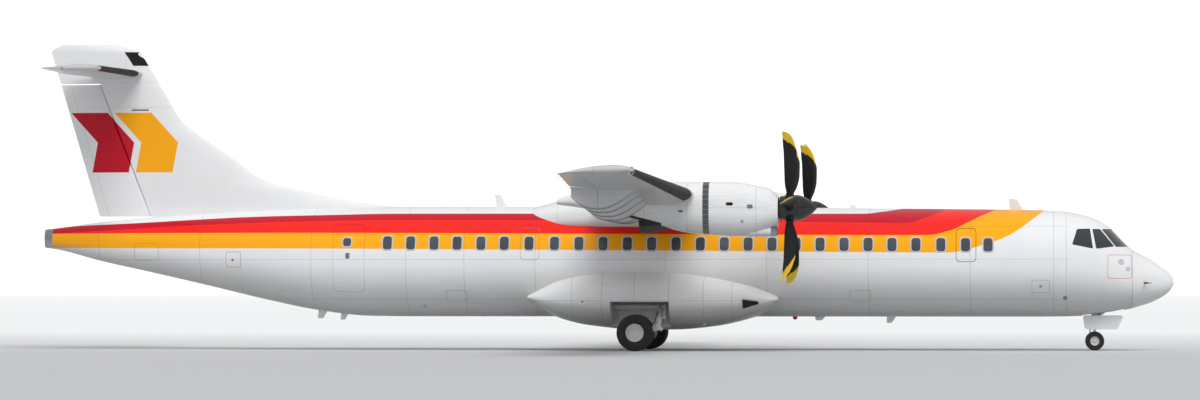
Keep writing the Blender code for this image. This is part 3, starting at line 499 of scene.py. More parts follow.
def door_prism(name, outline, side, grow, slope, level_y, near=DOOR_RECESS_Y):
    x0, x1, z0, z1 = outline
    x0, x1, z0, z1 = x0 - grow, x1 + grow, z0 - grow, z1 + grow
    shape = rounded_rect((x0 + x1) / 2, (z0 + z1) / 2, x1 - x0, z1 - z0, 0.12, 8)
    rings = []
    for y in (near, 2.0):
        rise = slope * (y - level_y)
        rings.append([(x, y * side, z + rise if z > (z0 + z1) / 2 else z) for x, z in shape])
    return loft(name, rings)


# ---------------------------------------------------------------- materials
def group(name, inputs, outputs):
    made = bpy.data.node_groups.new(name, "ShaderNodeTree")
    for kind, label, default in inputs:
        socket = made.interface.new_socket(name=label, in_out="INPUT", socket_type="NodeSocket" + kind)
        if default is not None:
            socket.default_value = default
    for kind, label in outputs:
        made.interface.new_socket(name=label, in_out="OUTPUT", socket_type="NodeSocket" + kind)
    enter = made.nodes.new("NodeGroupInput")
    leave = made.nodes.new("NodeGroupOutput")
    return made, enter, leave


class Nodes:
    """Short calls that add nodes to a tree and join them."""

    def __init__(self, tree):
        self.tree = tree

    def add(self, kind, **settings):
        node = self.tree.nodes.new("ShaderNode" + kind)
        for key, value in settings.items():
            setattr(node, key, value)
        return node

    def put(self, socket, value):
        if isinstance(value, bpy.types.NodeSocket):
            self.tree.links.new(value, socket)
        elif value is not None:
            if hasattr(socket.default_value, "__len__") and not isinstance(value, (tuple, list)):
                value = (value,) * len(socket.default_value)
            elif isinstance(value, (tuple, list)) and len(value) == 3 and len(socket.default_value) == 4:
                value = (*value, 1.0)
            socket.default_value = value

    def math(self, operation, a, b=None, c=None, clamp=False):
        node = self.add("Math", operation=operation, use_clamp=clamp)
        for socket, value in zip(node.inputs, (a, b, c)):
            self.put(socket, value)
        return node.outputs[0]

    def mix(self, factor, a, b):
        node = self.add("Mix", data_type="RGBA")
        self.put(node.inputs["Factor"], factor)
        self.put(node.inputs[6], a)
        self.put(node.inputs[7], b)
        return node.outputs[2]

    def noise(self, vector, scale, detail=3.0, rough=0.5):
        node = self.add("TexNoise")
        self.put(node.inputs["Vector"], vector)
        self.put(node.inputs["Scale"], scale)
        self.put(node.inputs["Detail"], detail)
        self.put(node.inputs["Roughness"], rough)
        return node.outputs["Fac"]

    def spread(self, value, low, high, to_low=0.0, to_high=1.0):
        node = self.add("MapRange")
        for key, v in (("Value", value), ("From Min", low), ("From Max", high), ("To Min", to_low),
                       ("To Max", to_high)):
            self.put(node.inputs[key], v)
        return node.outputs[0]

    def scaled(self, vector, factors):
        node = self.add("VectorMath", operation="MULTIPLY")
        self.put(node.inputs[0], vector)
        self.put(node.inputs[1], factors)
        return node.outputs[0]

    def split(self, vector):
        node = self.add("SeparateXYZ")
        self.put(node.inputs[0], vector)
        return node.outputs

    def near_line(self, value, at, half, soft=0.004):
        """One on a line at a value, fading over a soft edge."""
        away = self.math("ABSOLUTE", self.math("SUBTRACT", value, at))
        return self.math("SUBTRACT", 1.0, self.spread(away, half, half + soft), clamp=True)

    def most(self, masks):
        result = masks[0]
        for mask in masks[1:]:
            result = self.math("MAXIMUM", result, mask)
        return result

    def between(self, value, low, high, soft=0.004):
        a = self.spread(value, low - soft, low)
        b = self.spread(value, high, high + soft, 1.0, 0.0)
        return self.math("MULTIPLY", a, b)


def make_wear():
    """Fine mottling, dust streaks and orange peel for any painted or moulded surface."""
    made, enter, leave = group(
        "surface_wear",
        (("Vector", "Vector", None), ("Color", "Color", (0.8, 0.8, 0.8, 1.0)), ("Float", "Roughness", 0.3),
         ("Float", "Mottle", 0.04), ("Float", "Streaks", 0.03)),
        (("Color", "Color"), ("Float", "Roughness"), ("Float", "Height")),
    )
    n = Nodes(made)
    vector = enter.outputs["Vector"]
    cloud = n.noise(vector, 1.1, 4.0, 0.55)
    fine = n.noise(vector, 60.0, 2.0)
    streak = n.noise(n.scaled(vector, (0.35, 3.0, 7.0)), 2.4, 4.0, 0.6)
    shade = n.math("ADD", n.math("MULTIPLY", n.math("SUBTRACT", cloud, 0.5), enter.outputs["Mottle"]),
                   n.math("MULTIPLY", n.math("SUBTRACT", streak, 0.5), enter.outputs["Streaks"]))
    bright = n.math("ADD", 1.0, n.math("MULTIPLY", shade, 2.0))
    node = n.add("VectorMath", operation="SCALE")
    n.put(node.inputs[0], enter.outputs["Color"])
    n.put(node.inputs["Scale"], bright)
    made.links.new(node.outputs[0], leave.inputs["Color"])
    rough = n.math("ADD", enter.outputs["Roughness"],
                   n.math("MULTIPLY", n.math("SUBTRACT", streak, 0.5), 0.16))
    made.links.new(n.math("MAXIMUM", rough, 0.05), leave.inputs["Roughness"])
    height = n.math("ADD", n.math("MULTIPLY", fine, 0.15), n.math("MULTIPLY", cloud, 0.85))
    made.links.new(height, leave.inputs["Height"])
    return made


def make_rivets():
    """Rows of small heads along Z at even stations."""
    made, enter, leave = group(
        "rivet_rows",
        (("Vector", "Vector", None), ("Float", "Pitch", 0.045), ("Float", "Frame", 0.52),
         ("Float", "Size", 0.006)),
        (("Float", "Mask"),),
    )
    n = Nodes(made)
    x, _, z = n.split(enter.outputs["Vector"])
    pitch, bay = enter.outputs["Pitch"], enter.outputs["Frame"]

    def folded(value, period):
        share = n.math("FRACT", n.math("DIVIDE", value, period))
        return n.math("MULTIPLY", n.math("ABSOLUTE", n.math("SUBTRACT", share, 0.5)), period)

    across = n.math("SUBTRACT", n.math("MULTIPLY", bay, 0.5), folded(x, bay))
    across = n.math("ABSOLUTE", across)
    along = folded(z, pitch)
    distance = n.math("SQRT", n.math("ADD", n.math("POWER", across, 2.0), n.math("POWER", along, 2.0)))
    dots = n.spread(distance, enter.outputs["Size"], n.math("ADD", enter.outputs["Size"], 0.003), 1.0, 0.0)
    made.links.new(dots, leave.inputs["Mask"])
    return made


WEAR = make_wear()
RIVETS = make_rivets()


def finish(name, color, roughness=0.35, metallic=0.0, coat=0.0, mottle=0.04, streaks=0.03, bump=0.05,
           paint=None, lines=None, line_dark=0.45, rivets=None, belly=0.0, **constants):
    """A material from the shared wear group. paint(n, vector) gives the colour, lines(n, vector) a mask."""
    material = bpy.data.materials.new(name)
    material.use_nodes = True
    tree = material.node_tree
    shader = tree.nodes["Principled BSDF"]
    n = Nodes(tree)
    vector = n.add("TexCoord").outputs["Object"]
    colour = paint(n, vector) if paint else color
    wear = n.add("Group", node_tree=WEAR)
    n.put(wear.inputs["Vector"], vector)
    n.put(wear.inputs["Color"], colour)
    n.put(wear.inputs["Roughness"], roughness)
    n.put(wear.inputs["Mottle"], mottle)
    n.put(wear.inputs["Streaks"], streaks)
    colour, rough, height = wear.outputs
    height = n.math("MULTIPLY", height, bump)
    if rivets:
        heads = n.add("Group", node_tree=RIVETS)
        n.put(heads.inputs["Vector"], vector)
        for key, value in rivets.items():
            n.put(heads.inputs[key], value)
        colour = n.mix(n.math("MULTIPLY", heads.outputs[0], 0.18), colour, (0.12, 0.12, 0.13))
        height = n.math("ADD", height, n.math("MULTIPLY", heads.outputs[0], 0.3))
    if lines:
        mask = lines(n, vector)
        colour = n.mix(n.math("MULTIPLY", mask, line_dark), colour, (0.06, 0.06, 0.065))
        height = n.math("SUBTRACT", height, n.math("MULTIPLY", mask, 0.8))
    # painted shade: faces that point down are mixed towards dark grey by the belly amount, so undersides read
    # darker than the lamps make them
    if belly:
        down = n.math("MULTIPLY", n.split(n.add("NewGeometry").outputs["Normal"])[2], -1.0)
        colour = n.mix(n.math("MULTIPLY", n.spread(down, 0.05, 0.95), belly), colour, (0.20, 0.197, 0.19))
    n.put(shader.inputs["Base Color"], colour)
    n.put(shader.inputs["Roughness"], rough)
    shader.inputs["Metallic"].default_value = metallic
    shader.inputs["Coat Weight"].default_value = coat
    shader.inputs["Coat Roughness"].default_value = 0.06
    for key, value in constants.items():
        n.put(shader.inputs[key.replace("_", " ")], value)
    bumps = n.add("Bump")
    bumps.inputs["Strength"].default_value = 0.35
    bumps.inputs["Distance"].default_value = 0.004
    n.put(bumps.inputs["Height"], height)
    n.put(shader.inputs["Normal"], bumps.outputs[0])
    return material


def curve_of(n, x, points):
    """Height of an edge over the station, read from its points."""
    node = n.add("FloatCurve")
    curve = node.mapping.curves[0]
    low_x, span_x, low_z, span_z = -13.6, 27.2, 2.0, 1.6
    ends = list(points)
    if ends[-1][0] < 13.6:
        ends.append((13.6, 3.6))
    while len(curve.points) < len(ends):
        curve.points.new(0.5, 0.5)
    for spot, (px, pz) in zip(curve.points, ends):
        spot.location = ((px - low_x) / span_x, (pz - low_z) / span_z)
        spot.handle_type = "AUTO_CLAMPED"
    node.mapping.use_clip = False
    node.mapping.update()
    n.put(node.inputs["Value"], n.spread(x, low_x, low_x + span_x))
    return n.math("ADD", n.math("MULTIPLY", node.outputs[0], span_z), low_z)


def livery(n, vector):
    """White with three sweeping stripes."""
    x, _, z = n.split(vector)
    colour = WHITE
    for edge, below in ((CRIMSON_TOP, CRIMSON), (RED_TOP, RED), (AMBER_TOP, AMBER), (WHITE_TOP, WHITE)):
        mask = n.spread(n.math("SUBTRACT", curve_of(n, x, edge), z), -0.003, 0.003)
        colour = n.mix(mask, colour, below)
    return colour


def body_lines(n, vector):
    x, _, z = n.split(vector)
    rings = [n.near_line(x, at, 0.004) for at in (
        -12.2, -9.66, -6.9, -4.6, -3.2, -1.5, 1.6, 4.0, 6.4, 8.8, 10.75, 11.05)]
    rows = [n.near_line(z, at, 0.003) for at in (1.22, 2.16, 2.94)]
    side = n.between(x, -12.0, 11.1)
    return n.most([n.most(rings), n.math("MULTIPLY", n.most(rows), side)])


MATERIALS = {}


def build_materials():
    m = MATERIALS
    # belly= sets the strength of the painted shade on faces that point down
    m["body"] = finish("body_paint", WHITE, 0.30, coat=0.12, streaks=0.015, belly=0.55,
                       Specular_IOR_Level=0.28, paint=livery, lines=body_lines, line_dark=0.34,
                       rivets={"Pitch": 0.06, "Frame": 0.508, "Size": 0.004})
    m["white"] = finish("white_paint", WHITE, 0.26, coat=0.3, belly=0.5, lines=lambda n, v: n.most([
        n.near_line(n.split(v)[0], at, 0.003) for at in (-11.6, -9.9, -1.0, 2.62, 12.2)]), line_dark=0.2)

    def fin_paint(n, v):
        x, _, z = n.split(v)
        # a slanted axis that leans with the fin, and a plain two-colour chevron on it
        lean = n.math("ADD", x, n.math("MULTIPLY", z, 0.36))
        inside = n.math("MULTIPLY", n.between(z, 4.28, 5.72, 0.006), 1.0)
        fold = n.math("ABSOLUTE", n.math("SUBTRACT", z, 5.0))
        slanted = n.math("ADD", lean, n.math("MULTIPLY", fold, 0.55))
        first = n.math("MULTIPLY", n.between(slanted, -9.42, -8.52, 0.006), inside)
        second = n.math("MULTIPLY", n.between(slanted, -10.50, -9.60, 0.006), inside)
        colour = n.mix(first, WHITE, AMBER)
        return n.mix(second, colour, CRIMSON)

    def fin_lines(n, v):
        x, _, z = n.split(v)
        tab = n.near_line(n.math("ADD", x, n.math("MULTIPLY", z, 0.29957)), -11.055, 0.005)
        return n.most([n.near_line(z, 5.85, 0.003), n.math("MULTIPLY", tab, n.between(z, 3.2, 6.5))])

    m["fin"] = finish("fin_paint", WHITE, 0.30, coat=0.12, streaks=0.010, Specular_IOR_Level=0.28,
                      paint=fin_paint, lines=fin_lines, line_dark=0.22)
    m["lower_white"] = finish("fairing_paint", (0.82, 0.822, 0.825), 0.30, coat=0.2, belly=0.55, streaks=0.08,
                              lines=lambda n, v: n.most(
        [n.near_line(n.split(v)[0], at, 0.004) for at in (-0.60, 0.13, 0.90, 1.72, 2.53, 3.2)]
        + [n.near_line(n.split(v)[2], 1.18, 0.003)]), line_dark=0.36)

    def cowl_paint(n, v):
        x, _, z = n.split(v)
        band = n.between(x, 2.707, 2.848, 0.003)
        rungs = n.math("GREATER_THAN", n.math("FRACT", n.math("MULTIPLY", z, 8.5)), 0.93)
        dark = n.mix(rungs, (0.075, 0.08, 0.085), (0.30, 0.31, 0.32))
        return n.mix(band, WHITE, dark)

    m["nacelle"] = finish("nacelle_paint", WHITE, 0.28, coat=0.2, belly=0.4, streaks=0.07, paint=cowl_paint,
                          lines=lambda n, v: n.most(
        [n.near_line(n.split(v)[0], at, 0.004) for at in (3.938, 2.35, 1.35)]
        + [n.math("MULTIPLY", n.near_line(n.split(v)[2], 3.33, 0.003),
                  n.between(n.split(v)[0], 2.85, 3.93))]),
        line_dark=0.35)
    m["wing"] = finish("wing_paint", (0.56, 0.563, 0.57), 0.34, belly=0.45, coat=0.15, streaks=0.08,
                       lines=lambda n, v: n.most(
        [n.near_line(n.math("ABSOLUTE", n.split(v)[1]), at, 0.004) for at in (4.9, 6.2, 7.5, 8.8, 10.4, 12.0)]
        + [n.near_line(n.split(v)[0], at, 0.003) for at in (2.10, 1.05)]), line_dark=0.4,
        rivets={"Pitch": 0.05, "Frame": 0.45, "Size": 0.004})

    def track_paint_and_shade(n, v):
        # painted shade: faces that point down go nearly black, giving each track a dark lower edge against
        # the next
        down = n.math("MULTIPLY", n.split(n.add("NewGeometry").outputs["Normal"])[2], -1.0)
        return n.mix(n.spread(down, 0.30, 0.80), (0.60, 0.605, 0.61), (0.09, 0.09, 0.095))

    m["track"] = finish("track_paint_and_shade", (0.6, 0.6, 0.6), 0.36, coat=0.1, streaks=0.12, paint=track_paint_and_shade)
    m["tail_grey"] = finish("tail_paint", (0.54, 0.545, 0.555), 0.34, coat=0.15, lines=lambda n, v: n.most(
        [n.near_line(n.math("ABSOLUTE", n.split(v)[1]), at, 0.003) for at in (0.5, 1.6, 2.7)]),
        line_dark=0.35)
    m["rubber"] = finish("boot_rubber", (0.006, 0.006, 0.006), 0.5, Specular_IOR_Level=0.12, mottle=0.25,
                         streaks=0.3, bump=0.12,
                         lines=lambda n, v: n.math("GREATER_THAN", n.math("FRACT", n.math(
                             "MULTIPLY", n.math("ABSOLUTE", n.split(v)[1]), 2.2)), 0.985), line_dark=0.5)
    m["metal"] = finish("bare_metal", (0.42, 0.43, 0.45), 0.30, 0.9, streaks=0.2, mottle=0.15)
    m["dark_metal"] = finish("dark_metal", (0.09, 0.085, 0.08), 0.5, 0.8, mottle=0.4, streaks=0.3)
    m["chrome"] = finish("polished_steel", (0.66, 0.67, 0.69), 0.12, 1.0, mottle=0.05)
    m["gear"] = finish("gear_paint", (0.66, 0.67, 0.68), 0.38, streaks=0.15, mottle=0.12, bump=0.08)
    m["tyre"] = finish("tyre_rubber", (0.022, 0.022, 0.023), 0.75, mottle=0.4, streaks=0.3, bump=0.4)
    m["dark"] = finish("dark_gap", (0.012, 0.012, 0.013), 0.8, mottle=0.3)
    m["panel_grey"] = finish("panel_grey", (0.19, 0.20, 0.21), 0.45, mottle=0.12, streaks=0.1)
    m["rim"] = finish("window_rim", (0.55, 0.56, 0.57), 0.35, mottle=0.06)
    m["lining"] = finish("cabin_lining", (0.50, 0.49, 0.46), 0.6, mottle=0.1, bump=0.3)
    m["tread"] = finish("stair_tread", (0.05, 0.05, 0.055), 0.7, mottle=0.3, lines=lambda n, v: n.math(
        "GREATER_THAN", n.math("FRACT", n.math("MULTIPLY", n.split(v)[1], 40.0)), 0.6), line_dark=0.6)

    m["blade"] = finish("blade_finish", (0.014, 0.014, 0.015), 0.42, Specular_IOR_Level=0.25, mottle=0.2,
                        streaks=0.15)
    m["blade_tip"] = finish("blade_tip_paint", (0.85, 0.56, 0.01), 0.4, mottle=0.12, streaks=0.1)
    m["spinner"] = finish("spinner_finish", (0.016, 0.016, 0.018), 0.28, coat=0.3, mottle=0.15,
                          lines=lambda n, v: n.near_line(n.split(v)[0], 4.93, 0.003), line_dark=0.6)
    m["glass"] = finish("cabin_glass", (0.020, 0.024, 0.030), 0.10, mottle=0.25, streaks=0.12, bump=0.01,
                        coat=0.6,
                        paint=lambda n,
                        v: n.mix(n.noise(v, 1.7, 2.0), (0.015, 0.018, 0.024), (0.10, 0.12, 0.14)))
    m["cockpit_glass"] = finish("cockpit_glass", (0.01, 0.012, 0.015), 0.06, mottle=0.2, bump=0.01, coat=0.8,
                                paint=lambda n,
                                v: n.mix(n.noise(v, 1.2, 2.0), (0.006, 0.008, 0.011), (0.04, 0.05, 0.06)))
    m["red_lens"] = finish("red_lens", (0.55, 0.01, 0.01), 0.12, coat=0.6, mottle=0.2)
    m["green_lens"] = finish("green_lens", (0.01, 0.32, 0.08), 0.12, coat=0.6, mottle=0.2)
    m["clear_lens"] = finish("clear_lens", (0.10, 0.11, 0.12), 0.08, coat=0.8, mottle=0.3)
    m["red_mark"] = finish("red_mark", (0.70, 0.03, 0.02), 0.4, mottle=0.1)


build_materials()


def dress(thing, look):
    thing.data.materials.clear()
    thing.data.materials.append(MATERIALS[look])
    return thing


def add(thing, look, body="airframe", *nodes):
    """Give a piece its finish, the body it rides on and the CAD nodes it stands for.

    A look that starts with = gives no finish, for a piece that has its materials.
    """
    if look.startswith("="):
        look = look[1:]
    else:
        dress(thing, look)
    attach(thing, body)
    if nodes:
        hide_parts(*nodes)
    return thing


# ---------------------------------------------------------------- fuselage
PANES = (
    ("aft", ((11.303, 2.875), (11.608, 2.884), (11.678, 2.410), (11.185, 2.507))),
    ("middle", ((11.662, 2.874), (11.843, 2.874), (12.178, 2.464), (11.752, 2.405))),
    ("front", ((11.880, 2.874), (12.180, 2.874), (12.600, 2.463), (12.215, 2.452))),
)


def soft_polygon(points, corner=0.035, per=4):
    """Round the corners of a polygon."""
    result = []
    count = len(points)
    for i in range(count):
        before, here, after = (Vector(points[(i + k) % count]) for k in (-1, 0, 1))
        a = here + (before - here).normalized() * corner
        b = here + (after - here).normalized() * corner
        for k in range(per + 1):
            t = k / per
            result.append(tuple((1 - t) ** 2 * a + 2 * t * (1 - t) * here + t * t * b))
    return result


def grow_polygon(points, grow):
    centre = sum((Vector(p) for p in points), Vector((0, 0))) / len(points)
    result = []
    count = len(points)
    for i in range(count):
        before, here, after = (Vector(points[(i + k) % count]) for k in (-1, 0, 1))
        lines = []
        for p, q in ((before, here), (here, after)):
            normal = Vector(((q - p).y, -(q - p).x)).normalized()
            if normal.dot(here - centre) < 0:
                normal = -normal
            lines.append((p + normal * grow, (q - p).normalized()))
        (p1, d1), (p2, d2) = lines
        cross = d1.x * d2.y - d1.y * d2.x
        t = ((p2 - p1).x * d2.y - (p2 - p1).y * d2.x) / cross
        result.append(tuple(p1 + d1 * t))
    return result


def cockpit_panes(body):
    deep = fuselage_skin("pane_floor", -0.030, 10.9, 12.60)
    cutters, glass = [], []
    for name, outline in PANES:
        for side_name, side in SIDES:
            shape = polygon_prism("seat", soft_polygon(outline), 0.035, 2.0, side)
            cutters.append(combine(shape, deep, "DIFFERENCE", keep=True))
            pane = fuselage_skin("cockpit_pane_%s_%s" % (name, side_name), -0.010, 10.9, 12.60)
            combine(pane,
                    polygon_prism("trim", soft_polygon(grow_polygon(outline, -0.004)), 0.038, 2.0, side),
                    "INTERSECT")
            combine(pane, deep, "DIFFERENCE", keep=True)
            glass.append(pane)
    bpy.data.objects.remove(deep, do_unlink=True)
    combine(body, join("seats", cutters), "DIFFERENCE")
    add(join("cockpit_panes", [dress(g, "cockpit_glass") for g in glass], 32), "=cockpit_glass", "airframe",
        "windscreen_band")
    # rubber beading round the aft and middle panes
    beads = []
    for name, outline in PANES:
        for side_name, side in SIDES:
            outer = soft_polygon(grow_polygon(outline, -0.002))
            inner = soft_polygon(grow_polygon(outline, -0.016))
            work = bmesh.new()
            ring_a = [work.verts.new(skin_point(x, z, side, -0.006)) for x, z in outer if skin_y(x, z) > 0.02]
            ring_b = [work.verts.new(skin_point(x, z, side, -0.007)) for x, z in inner if skin_y(x, z) > 0.02]
            if name == "front":
                work.free()
                continue
            for i in range(len(ring_a)):
                j = (i + 1) % len(ring_a)
                work.faces.new((ring_a[i], ring_a[j], ring_b[j], ring_b[i]))
            beads.append(dress(link("bead", finish_mesh("bead", work)), "dark"))
    add(join("cockpit_beading", beads), "dark")


def fuselage():
    body = fuselage_skin("fuselage_skin")
    doors = []
    for name, outline, side, gap, slope, level_y in DOORS:
        near = 0.85 if name == "service_door" else DOOR_RECESS_Y
        panel = fuselage_skin(name + "_skin", 0.0, outline[0] - 0.6, outline[1] + 0.6)
        combine(panel, door_prism("shape", outline, side, 0.0, slope, level_y), "INTERSECT")
        back = fuselage_skin("back", -DOOR_THICKNESS, outline[0] - 0.6, outline[1] + 0.6)
        combine(panel, back, "DIFFERENCE")
        doors.append((name, panel))
        combine(body, door_prism("opening", outline, side, gap, slope, level_y, near), "DIFFERENCE")
    well = box("well", (NOSE_WELL_X[0], -NOSE_WELL_HALF, 0.3),
               (NOSE_WELL_X[1], NOSE_WELL_HALF, NOSE_WELL_TOP_Z))
    combine(body, well, "DIFFERENCE")
    cockpit_panes(body)
    rear = link("rear_fuselage_skin", body.data.copy())
    combine(rear, box("behind", (-13.6, -2, 0), (REAR_SEAM_X, 2, 4)), "INTERSECT")
    combine(body, box("seam", (-13.6, -2, 0), (REAR_SEAM_X + 0.001, 2, 4)), "DIFFERENCE")
    add(body, "body", "airframe", "fuselage")
    add(rear, "body", "airframe", "rear_fuselage")
    for name, panel in doors:
        add(panel, "body", name if name != "service_door" else "airframe", name)

    radome = loft("radome_skin", body_rings([r for r in BODY_TABLE if r[0] >= 12.60][:-1] + [
        (13.583, 1.560, 1.700, 0.065)]))
    seam = 12.606
    for vertex in radome.data.vertices:
        vertex.co.x = max(vertex.co.x, seam)
    add(radome, "white", "airframe", "radome")
    cone = loft("tail_cone_skin", body_rings([r for r in BODY_TABLE if r[0] <= -13.385]))
    add(cone, "metal", "airframe", "tail_cone")


WINDOWS_PX = (
    -5.043, -4.484, -3.922, -3.369, -2.799, -2.242, -1.649, -1.040, -0.458, 0.116, 0.697, 1.272, 1.852,
    2.428, 2.995, 3.561, 4.125, 4.695, 5.262, 5.828, 6.394, 6.957, 7.522, 8.107, 8.688, 9.216,
)


def cabin_windows():
    rims, panes = [], []
    for _, side in SIDES:
        for x in WINDOWS_PX:
            if side > 0 and x > 8.7:
                continue
            z = 2.556 - 0.059 * (x + 5.034) / 14.25
            base = dense(rounded_rect(x, z, 0.275, 0.375, 0.085))
            work = bmesh.new()
            levels = ((0.0, 0.0005), (0.006, 0.005), (0.026, 0.005), (0.032, 0.0015))
            rings = []
            for inset, lift in levels:
                ring = []
                for px, pz in base:
                    sx, sz = 1 - inset / 0.1375, 1 - inset / 0.1875
                    ring.append(work.verts.new(skin_point(x + (px - x) * sx, z + (pz - z) * sz, side, lift)))
                rings.append(ring)
            for near, far in zip(rings, rings[1:]):
                for i in range(len(near)):
                    j = (i + 1) % len(near)
                    work.faces.new((near[i], near[j], far[j], far[i]))
            work.normal_update()
            if sum(f.normal.y * side for f in work.faces) < 0:
                bmesh.ops.reverse_faces(work, faces=work.faces)
            mesh = bpy.data.meshes.new("rim")
            work.to_mesh(mesh)
            work.free()
            mesh.shade_smooth()
            rims.append(dress(link("rim", mesh), "rim"))
            inner = rounded_rect(x, z, 0.275 - 0.064, 0.375 - 0.064, 0.085 - 0.026)
            panes.append(dress(patch("pane", inner, side, ((1.0, 0.0015),)), "glass"))
    add(join("cabin_window_rims", rims), "rim")
    add(join("cabin_window_panes", panes), "glass")


def seam_lines():
    """Dark seams of exits and hatches, as narrow strips that lie on the skin."""
    strips = []

    def strip(outline, width, side, look="dark", lift=0.002):
        outline = dense(outline)
        work = bmesh.new()
        rings = []
        centre = (sum(p[0] for p in outline) / len(outline), sum(p[1] for p in outline) / len(outline))
        half = max(abs(p[0] - centre[0]) for p in outline), max(abs(p[1] - centre[1]) for p in outline)
        for inset in (0.0, width):
            ring = []
            for px, pz in outline:
                sx, sz = 1 - inset / half[0], 1 - inset / half[1]
                ring.append(work.verts.new(skin_point(
                    centre[0] + (px - centre[0]) * sx, centre[1] + (pz - centre[1]) * sz, side, lift)))
            rings.append(ring)
        for i in range(len(outline)):
            j = (i + 1) % len(outline)
            work.faces.new((rings[0][i], rings[0][j], rings[1][j], rings[1][i]))
        work.normal_update()
        if sum(f.normal.y * side for f in work.faces) < 0:
            bmesh.ops.reverse_faces(work, faces=work.faces)
        mesh = bpy.data.meshes.new("strip")
        work.to_mesh(mesh)
        work.free()
        strips.append(dress(link("strip", mesh), look))

    strip(rounded_rect(8.700, 2.495, 0.475, 0.800, 0.10), 0.010, -1)
    for _, side in SIDES:
        strip(rounded_rect(-1.631, 2.527, 0.454, 0.760, 0.10), 0.007, side, "panel_grey")
        strip(rounded_rect(-8.820, 2.165, 0.370, 0.370, 0.05), 0.008, side, "panel_grey")
        strip(rounded_rect(12.300, 1.985, 0.560, 0.560, 0.06), 0.008, side, "red_mark")
        strip(rounded_rect(10.45, 1.52, 0.42, 0.30, 0.05), 0.006, side, "panel_grey")
        strip(rounded_rect(-3.4, 1.30, 0.50, 0.26, 0.05), 0.006, side, "panel_grey")
        strip(rounded_rect(6.2, 1.30, 0.50, 0.26, 0.05), 0.006, side, "panel_grey")
        strip(rounded_rect(-11.0, 2.35, 0.60, 0.40, 0.05), 0.006, side, "panel_grey")
    add(join("hatch_seams", strips), "=panel_grey")


def small_marks():
    """Ports, dots, the door's window and handles."""
    pieces = []

    def disc(x, z, radius, side, look, lift=0.004):
        outline = [(x + radius * math.cos(2 * math.pi * i / 28),
                    z + radius * math.sin(2 * math.pi * i / 28)) for i in range(28)]
        pieces.append(dress(patch("disc", outline, side,
                ((1.0, 0.0005), (0.9, lift), (0.7, lift), (0.62, lift - 0.002)), inner=(0.5,)), look))

    for _, side in SIDES:
        disc(12.334, 2.096, 0.070, side, "rim")
        disc(12.498, 1.931, 0.055, side, "rim")
        disc(-8.839, 2.153, 0.030, side, "red_mark")
        disc(10.45, 1.52, 0.040, side, "metal")
        disc(11.02, 1.25, 0.050, side, "panel_grey")
        disc(-4.2, 1.05, 0.040, side, "metal")
    add(join("skin_ports", pieces), "=panel_grey")
    # the rear doors' windows and handles
    for name, side, body in (("service_door", -1, "airframe"), ("passenger_door", 1, "passenger_door")):
        parts = []
        outline = rounded_rect(-6.02, 2.575, 0.26, 0.26, 0.08)
        parts.append(dress(patch("rim", outline, side,
                                 ((1.0, 0.0005), (0.95, 0.005), (0.80, 0.005), (0.76, 0.002))), "rim"))
        inner = rounded_rect(-6.02, 2.575, 0.19, 0.19, 0.06)
        parts.append(dress(patch("pane", inner, side, ((1.0, 0.0035),)), "glass"))
        handle = rounded_rect(-6.003, 2.25, 0.10, 0.14, 0.03)
        parts.append(dress(patch("handle", handle, side,
                                 ((1.0, 0.0005), (0.93, 0.006), (0.72, 0.006), (0.64, 0.002))), "panel_grey"))
        lever = rounded_rect(-6.003, 2.25, 0.03, 0.11, 0.012)
        parts.append(dress(patch("lever", lever, side, ((1.0, 0.001), (0.85, 0.008))), "metal"))
        add(join(name + "_fittings", parts), "=rim", body)


# ---------------------------------------------------------------- wings
def half_thickness(share, thickness):
    form = 0.2969 * math.sqrt(share) - 0.1260 * share - 0.3516 * share**2
    form += 0.2843 * share**3 - 0.1036 * share**4
    return 5 * thickness * form


def wing_section(y):
    share = max(0.0, (y - KINK_Y) / (TIP_Y - KINK_Y))

    def between(root, tip):
        return root + (tip - root) * share

    return (between(LEADING_X, TIP_LEADING_X), between(LEADING_Z, TIP_LEADING_Z),
            between(CHORD, TIP_CHORD), between(ROOT_THICKNESS, TIP_THICKNESS))


def airfoil(first, last, chord, thickness, camber=0.0, grow=0.0, points=AIRFOIL_POINTS):
    first = max(first, 0.0006)
    upper, lower = [], []
    for i in range(points):
        spread = i / (points - 1)
        bunch = 1 - math.cos(spread * math.pi / 2) if first < 0.01 else spread
        share = first + (last - first) * bunch
        half = chord * half_thickness(share, thickness) + 0.002 + grow
        rise = chord * camber * (1 - (2 * share - 0.8) ** 2)
        upper.append((chord * share, rise + half))
        lower.append((chord * share, rise - half))
    return upper[::-1] + lower


def wing_point(y, side, aft, height):
    lead_x, lead_z, _, _ = wing_section(y)
    x = lead_x - aft * math.cos(INCIDENCE) + height * math.sin(INCIDENCE)
    z = lead_z - aft * math.sin(INCIDENCE) + height * math.cos(INCIDENCE)
    return (x, y * side, z)


def wing_ring(y, side, first, last, grow=0.0, shrink=1.0):
    _, _, chord, thickness = wing_section(y)
    return [wing_point(y, side, a, h) for a,
            h in airfoil(first, last, chord, thickness * shrink, CAMBER, grow)]


def flap_pivot(y, side):
    _, _, chord, thickness = wing_section(y)
    _, low = airfoil(FLAP_SHARE, 1.0, chord, thickness, CAMBER)[AIRFOIL_POINTS]
    return Vector(wing_point(y, side, chord * FLAP_SHARE, low)) - Vector((0, 0, FLAP_PIVOT_DROP))


def track(name, y, side, rows):
    """Canoe fairing; each row is x from the pivot, drop, top, half width."""
    pivot = flap_pivot(y, side)
    ordered = sorted(rows)
    table = smooth_table(ordered, 22)
    rings = []
    for ahead, drop, top, half in table:
        ring = []
        for i in range(18):
            angle = math.pi * i / 17
            ring.append((pivot.x + ahead,
                         y * side + half * math.copysign(abs(math.cos(angle)) ** 0.85, math.cos(angle)),
                         pivot.z + drop + (top - drop) * (1 - math.sin(angle) ** 0.8)))
        rings.append(ring)
    return dress(loft(name, rings, 50), "track")


